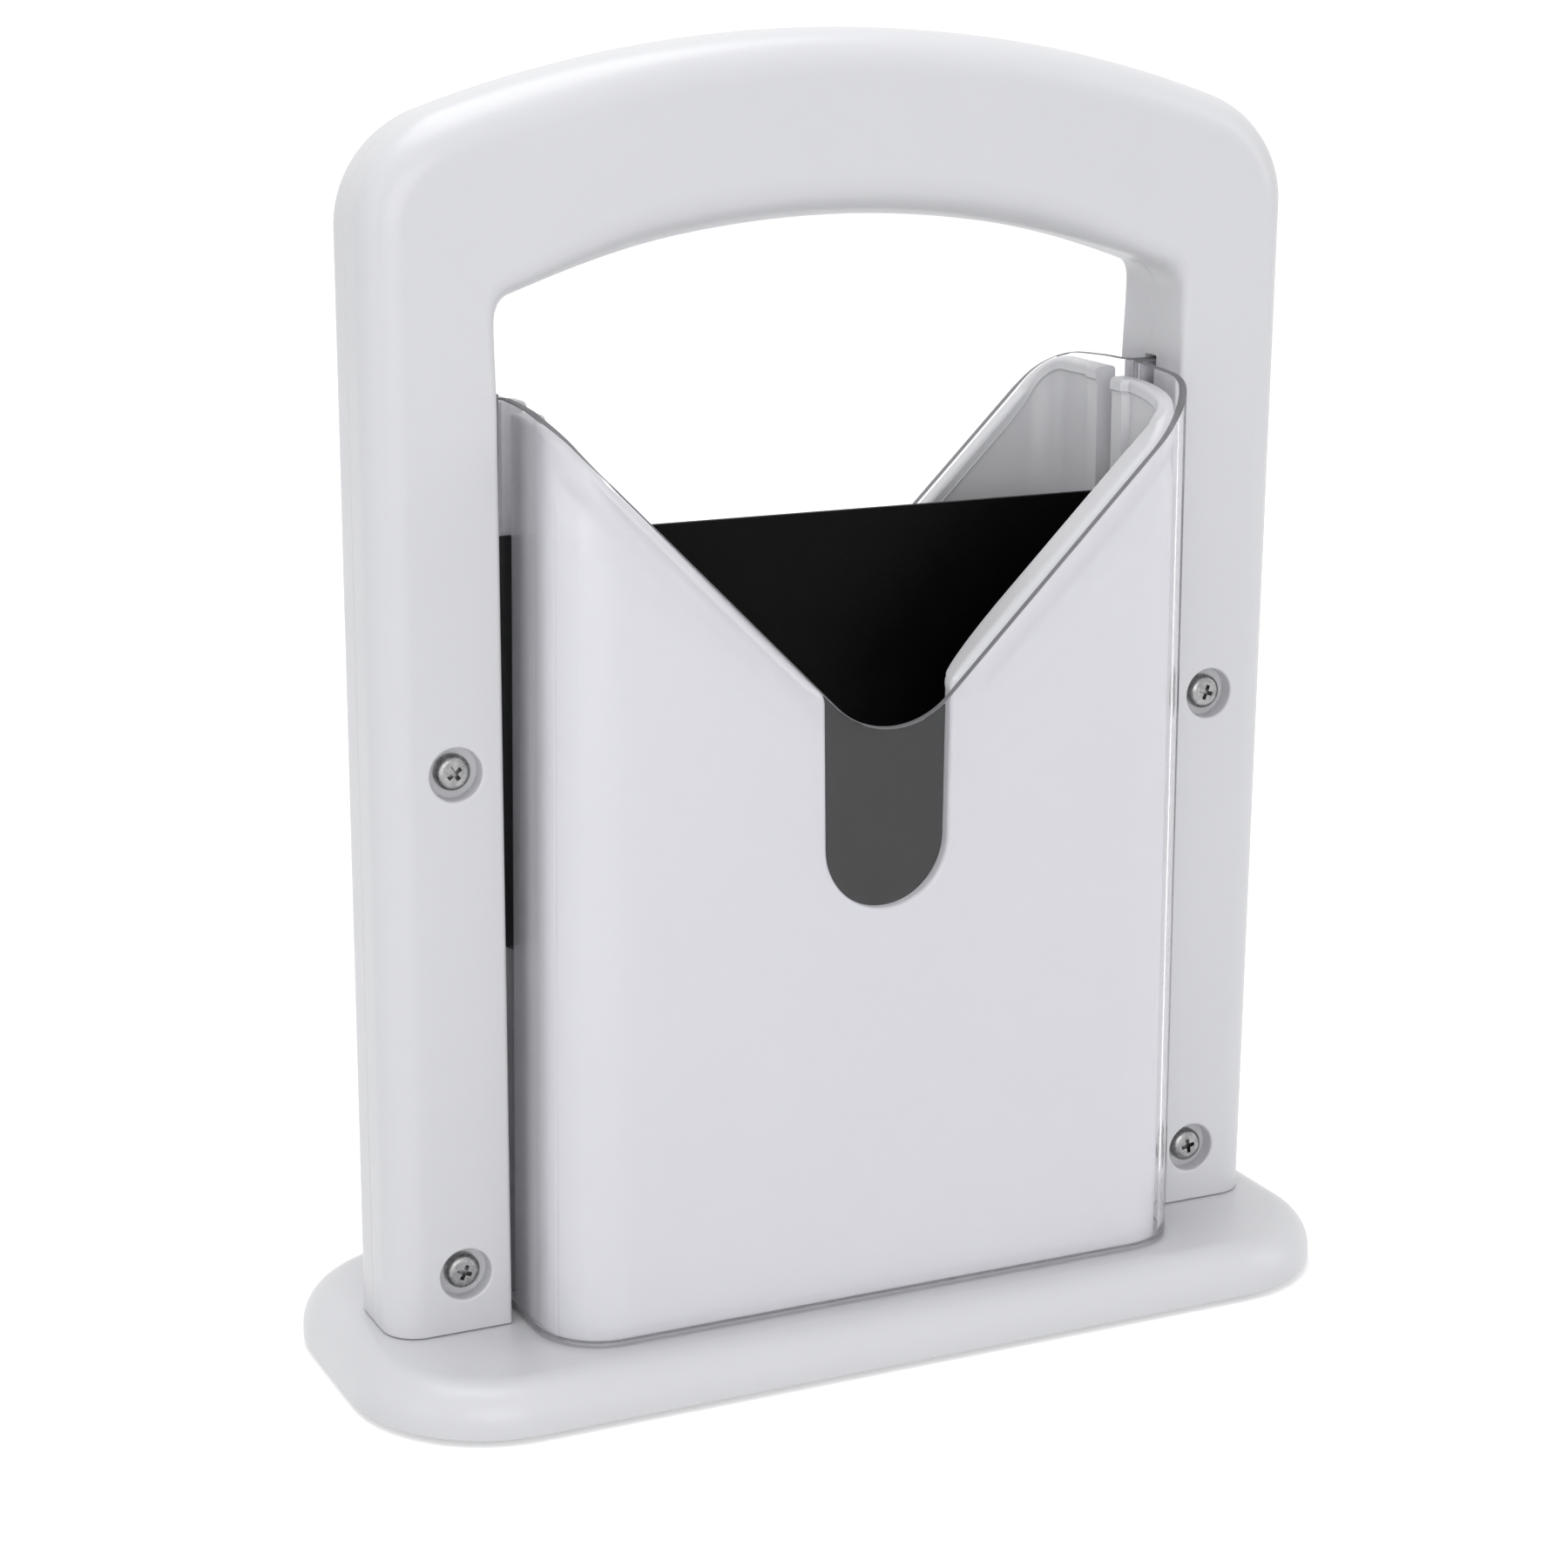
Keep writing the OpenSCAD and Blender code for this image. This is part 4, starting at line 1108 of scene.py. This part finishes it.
def screw_model():
    """A screw whose head lies below the origin and whose shank points up."""
    head = rod("head", (0, 0, 0), (0, 0, -HEAD_H), HEAD_R, 64)
    bevel(head, lambda e: middle(e).z < -0.9 * HEAD_H and not along(e, 2), DOME_R, 8)
    for turned in (0, 90):
        low = (-CROSS_HALF_L, -CROSS_HALF_W, -HEAD_H - PAST)
        bar = block("bar", low, (CROSS_HALF_L, CROSS_HALF_W, -HEAD_H + CROSS_DEPTH))
        only(bar)
        bpy.ops.object.mode_set(mode="EDIT")
        pick("FACE", lambda f: f.normal.z > 0.9)
        bpy.ops.transform.resize(value=CROSS_TAPER, center_override=(0, 0, -HEAD_H))
        bpy.ops.object.mode_set(mode="OBJECT")
        bar.rotation_euler.z = math.radians(turned)
        bpy.ops.object.transform_apply(rotation=True)
        combine(head, bar, "DIFFERENCE")
    shank = skinned("shank", [thread_ring(z) for z in span(-SHANK_SINK, SCREW_L, THREAD_RINGS)])
    return finished(combine(head, shank, "UNION"), 28)


def screw_copy(model, name, place, turn):
    """A copy of the screw with its own mesh, turned and moved to its place."""
    copy = model.copy()
    copy.data = model.data.copy()
    copy.name = copy.data.name = name
    bpy.context.collection.objects.link(copy)
    copy.data.transform(Matrix.Translation(place) @ Matrix(turn).to_4x4())
    return copy


# %% [markdown]
# A screw stops at any angle when it is driven home, so the crosses aren't lined up.

# %% All the screws
TO_BACK = ((1, 0, 0), (0, 0, 1), (0, -1, 0))
UPRIGHT = ((1, 0, 0), (0, 1, 0), (0, 0, 1))
SCREW_FLOOR = boss_low.z + HEAD_H
LEFT_SPIN, RIGHT_SPIN, UPPER_SPIN = 24, -12, 31


def spun(turn, degrees):
    """A turn of the whole screw, after a spin round its own axis."""
    return Matrix(turn) @ Matrix.Rotation(math.radians(degrees), 3, "Z")


model = screw_model()
for side, side_name, spin in ((-1, "left", LEFT_SPIN), (1, "right", RIGHT_SPIN)):
    for z, level in zip(SCREW_ZS, ("lower", "upper"), strict=True):
        place = Vector((side * SCREW_X, RECESS_DEPTH - HALF_T, z))
        turn = spun(TO_BACK, spin + UPPER_SPIN * (level == "upper"))
        piece = screw_copy(model, f"handle_screw_{side_name}_{level}", place, turn)
        placed(piece, STEEL, "screw_steel", "handle", "handle_screws")
    for y, end in ((-BOSS_Y, "front"), (BOSS_Y, "rear")):
        place = Vector((side * BOSS_X, y, SCREW_FLOOR))
        piece = screw_copy(model, f"base_screw_{end}_{side_name}", place, spun(UPRIGHT, 2 * spin))
        placed(piece, STEEL, "screw_steel", "holder", "base_screws")
bpy.data.objects.remove(model)

# %% [markdown]
# ## The base
#
# The base starts as a block. Its four upright edges are bevelled to the corner radius, and
# then the top edge all round to the domed one. Underneath, a grid of small blocks is cut out
# of it, which leaves ribs, a spine under the blade, and pads for the feet and screws.

# %% Base
CORNER_R, EDGE_R, RIM_R = 26 * MM, 7 * MM, 0.5 * MM
SKIN, RIB = 3.4 * MM, 2.2 * MM
CELL_COLUMNS, CELL_ROWS, CELL_R = 9, 4, 0.8 * MM
foot_low, foot_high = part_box("foot_front_right")
FOOT_AT = (foot_low + foot_high) / 2
FOOT_R, SOCKET_CLEARANCE = 6 * MM, 0.1 * MM
FOOT_PAD_R, SCREW_PAD_R = FOOT_R + 2.5 * MM, 5.7 * MM
SPINE_MARGIN, GROOVE_MARGIN = 1 * MM, 1 * MM
SPINE_HALF_W = BLADE_GAP / 2 + SPINE_MARGIN
GROOVE_HALF_L, GROOVE_HALF_W, GROOVE_DEPTH = BLADE_HALF_W + GROOVE_MARGIN, 1.5 * MM, 2.2 * MM
HEAD_CLEARANCE = 0.5 * MM


def base_block():
    """The outside of the base, with its corners and rims rounded."""
    piece = block("base_plate", base_low, base_high)
    bevel(piece, lambda e: along(e, 2), CORNER_R, 24)
    bevel(piece, lambda e: middle(e).z > base_high.z - NEAR, EDGE_R, 12)
    bevel(piece, lambda e: middle(e).z < base_low.z + NEAR, RIM_R, 2)
    return piece


def four_corners(x, y):
    """A place in each quarter of the base."""
    return [Vector((side * abs(x), end * abs(y), 0)) for side in (-1, 1) for end in (-1, 1)]


def cell_cutter():
    """The hollow cells, as one tool, with the pads and the spine left out."""
    half_x, half_y = base_high.x - EDGE_R - RIB, base_high.y - EDGE_R - RIB
    pitch_x, pitch_y = 2 * half_x / CELL_COLUMNS, 2 * half_y / CELL_ROWS
    low = Vector((RIB / 2 - half_x, RIB / 2 - half_y, base_low.z - PAST))
    high = low + Vector((pitch_x - RIB, pitch_y - RIB, base_high.z - SKIN - base_low.z + PAST))
    cells = block("cells", low, high)
    bevel(cells, lambda e: along(e, 2), CELL_R, 3)
    for axis, count, pitch in ((0, CELL_COLUMNS, pitch_x), (1, CELL_ROWS, pitch_y)):
        rows = cells.modifiers.new("rows", "ARRAY")
        rows.count = count
        rows.use_relative_offset = False
        rows.use_constant_offset = True
        rows.constant_offset_displace = [pitch if a == axis else 0 for a in range(3)]
        bpy.ops.object.modifier_apply(modifier=rows.name)
    under, over = up(base_low.z - 2 * PAST), up(base_high.z)
    pads = zip(four_corners(FOOT_AT.x, FOOT_AT.y), four_corners(BOSS_X, BOSS_Y), strict=True)
    for foot_place, screw_place in pads:
        for place, radius in ((foot_place, FOOT_PAD_R), (screw_place, SCREW_PAD_R)):
            combine(cells, rod("pad", place + under, place + over, radius, 40), "DIFFERENCE")
    low, high = (-SHELL_HALF_W, -SPINE_HALF_W, under.z), (SHELL_HALF_W, SPINE_HALF_W, over.z)
    return combine(cells, block("spine", low, high), "DIFFERENCE")


def cut_base_holes(piece):
    """The groove for the teeth, the feet's sockets and the screws' holes."""
    low = (-GROOVE_HALF_L, -GROOVE_HALF_W, base_high.z - GROOVE_DEPTH)
    high = (GROOVE_HALF_L, GROOVE_HALF_W, base_high.z + PAST)
    combine(piece, block("groove", low, high), "DIFFERENCE")
    places = zip(four_corners(FOOT_AT.x, FOOT_AT.y), four_corners(BOSS_X, BOSS_Y), strict=True)
    for foot_place, screw in places:
        foot_top = foot_place + up(foot_high.z)
        combine(piece, rod("socket", foot_place, foot_top, FOOT_R + SOCKET_CLEARANCE, 64), "DIFFERENCE")
        for name, top, radius, sides in (
            ("head_hole", SCREW_FLOOR, HEAD_R + HEAD_CLEARANCE, 48),
            ("shank_hole", base_high.z + PAST, SHANK_R + SHANK_CLEARANCE, 32),
        ):
            combine(piece, rod(name, screw, screw + up(top), radius, sides), "DIFFERENCE")
    return piece


base_plate = cut_base_holes(combine(base_block(), cell_cutter(), "DIFFERENCE"))
placed(finished(base_plate), WHITE, "white_plastic", "holder", "base")

# %% [markdown]
# ## The feet
#
# Four rubber discs sit in sockets under the base. Each is a cylinder with a rounded rim and a
# shallow dish in the face that stands on the worktop.

# %% Feet
FOOT_RIM_R = 0.5 * MM
DISH_INSET, DISH_SLOPE, DISH_DEPTH = 2.2 * MM, 0.5 * MM, 0.3 * MM


def foot(node):
    """A rubber disc with a dish in its lower face, where its node has it."""
    low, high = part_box(node)
    centre = (low + high) / 2
    start, end = Vector((centre.x, centre.y, low.z)), Vector((centre.x, centre.y, high.z))
    piece = rod(f"{node}_disc", start, end, FOOT_R, 64)
    bpy.ops.object.mode_set(mode="EDIT")
    pick("FACE", lambda f: f.normal.z < -0.9)
    bpy.ops.mesh.inset(thickness=DISH_INSET)
    bpy.ops.mesh.inset(thickness=DISH_SLOPE, depth=-DISH_DEPTH)
    bpy.ops.object.mode_set(mode="OBJECT")

    def rim(edge):
        on_floor = all(abs(v.co.z - low.z) < NEAR for v in edge.verts)
        return on_floor and (middle(edge) - start).length > FOOT_R - 10 * NEAR

    bevel(piece, rim, FOOT_RIM_R, 4)
    placed(finished(piece), RUBBER, "foot_rubber", "holder", node)


for end in ("front", "rear"):
    for side_name in ("left", "right"):
        foot(f"foot_{end}_{side_name}")

# %% [markdown]
# ## Light and floor
#
# A product shot like this stands in a tent of white cloth: one big soft light overhead, a
# weaker one in front, two more at the sides, and white all round. The lights are area lamps of
# a real softbox's size, because their size sets how soft the shadows and reflections are.

# %% Lights
MODEL_MIDDLE = (0, 0, 0.12)


def softbox(name, place, aim, size, power):
    """A rectangular soft light. Places and sizes are in metres, and power is in watts."""
    bpy.ops.object.light_add(type="AREA", location=place)
    lamp = bpy.context.object
    lamp.name = name
    lamp.data.shape = "RECTANGLE"
    lamp.data.size, lamp.data.size_y = size
    lamp.data.energy = power
    lamp.rotation_euler = (Vector(aim) - Vector(place)).to_track_quat("-Z", "Y").to_euler()


softbox("top_light", (-0.1, 0.1, 1.1), (0, 0, 0.1), (0.9, 0.7), 5.4)
softbox("left_light", (-1.1, -0.35, 0.5), MODEL_MIDDLE, (0.5, 0.9), 1)
softbox("front_light", (-0.4, -1.15, 0.45), MODEL_MIDDLE, (0.9, 0.7), 3.9)
softbox("right_light", (1.1, -0.5, 0.6), MODEL_MIDDLE, (0.4, 0.9), 1.9)

# %% [markdown]
# The floor is pale and keeps the shadow. To the camera, to mirrors and through glass it also
# gives off enough light to come out white, and the world is plain white there too, so that the
# background is white and the object isn't overlit. Less light falls on the floor further away,
# so the glow grows with the distance from the object.

# %% What is seen, and what only lights the object
FIRST_BOUNCE = 0.5


def worked_out(tree, operation, first, second):
    """A Math node on two values, each the output of a node or a plain number."""
    node = tree.nodes.new("ShaderNodeMath")
    node.operation = operation
    for entry, value in zip(node.inputs[:2], (first, second), strict=True):
        if isinstance(value, bpy.types.NodeSocket):
            tree.links.new(value, entry)
        else:
            entry.default_value = value
    return node.outputs["Value"]


def is_seen(tree):
    """1 for a ray that comes from the camera, a mirror or glass and hasn't met a matt surface
    before, and 0 for one that carries light to the object."""
    rays = tree.nodes.new("ShaderNodeLightPath").outputs
    seen = rays["Is Camera Ray"]
    for kind in ("Is Glossy Ray", "Is Transmission Ray"):
        seen = worked_out(tree, "MAXIMUM", seen, rays[kind])
    before_bounce = worked_out(tree, "LESS_THAN", rays["Diffuse Depth"], FIRST_BOUNCE)
    return worked_out(tree, "MULTIPLY", seen, before_bounce)


# %% World
TENT_COLOUR, TENT_STRENGTH = (0.97, 0.98, 1, 1), 0.48


def white_world():
    """A world that lights the object softly, and is plain white where it is seen."""
    world = bpy.data.worlds.new("tent")
    bpy.context.scene.world = world
    world.use_nodes = True
    tree = world.node_tree
    light = tree.nodes["Background"]
    light.inputs["Color"].default_value = TENT_COLOUR
    light.inputs["Strength"].default_value = TENT_STRENGTH
    white = tree.nodes.new("ShaderNodeBackground")
    white.inputs["Color"].default_value = (1, 1, 1, 1)
    white.inputs["Strength"].default_value = 1
    surface = chosen(tree, is_seen(tree), light.outputs["Background"], white.outputs["Background"])
    tree.links.new(surface, tree.nodes["World Output"].inputs["Surface"])


white_world()

# %% Floor
FLOOR_SIZE = 60
GLOW_NEAR, GLOW_FAR = 0.35, 0.6
NEAR_DISTANCE, FAR_DISTANCE = 0.25, 1


def floor_glow(tree):
    """The light that the floor gives off where it is seen, more of it further away."""
    where = tree.nodes.new("ShaderNodeTexCoord")
    distance = tree.nodes.new("ShaderNodeVectorMath")
    distance.operation = "LENGTH"
    tree.links.new(where.outputs["Object"], distance.inputs[0])
    growing = tree.nodes.new("ShaderNodeMapRange")
    growing.inputs["From Min"].default_value = NEAR_DISTANCE
    growing.inputs["From Max"].default_value = FAR_DISTANCE
    growing.inputs["To Min"].default_value = GLOW_NEAR
    growing.inputs["To Max"].default_value = GLOW_FAR
    tree.links.new(distance.outputs["Value"], growing.inputs["Value"])
    glow = tree.nodes.new("ShaderNodeEmission")
    strength = worked_out(tree, "MULTIPLY", is_seen(tree), growing.outputs["Result"])
    tree.links.new(strength, glow.inputs["Strength"])
    return glow.outputs["Emission"]


def white_floor():
    """A large sheet of pale paper under the slicer."""
    bpy.ops.object.select_all(action="DESELECT")
    bpy.ops.mesh.primitive_plane_add(size=FLOOR_SIZE)
    floor = added("floor")
    material, tree, shader = finish_of("floor_paper", (0.93, 0.93, 0.93), 0.9)
    shader.inputs["Specular IOR Level"].default_value = 0.1
    both = tree.nodes.new("ShaderNodeAddShader")
    tree.links.new(shader.outputs["BSDF"], both.inputs[0])
    tree.links.new(floor_glow(tree), both.inputs[1])
    tree.links.new(both.outputs["Shader"], tree.nodes["Material Output"].inputs["Surface"])
    floor.data.materials.append(material)


white_floor()
bpy.context.scene.view_settings.view_transform = "Standard"
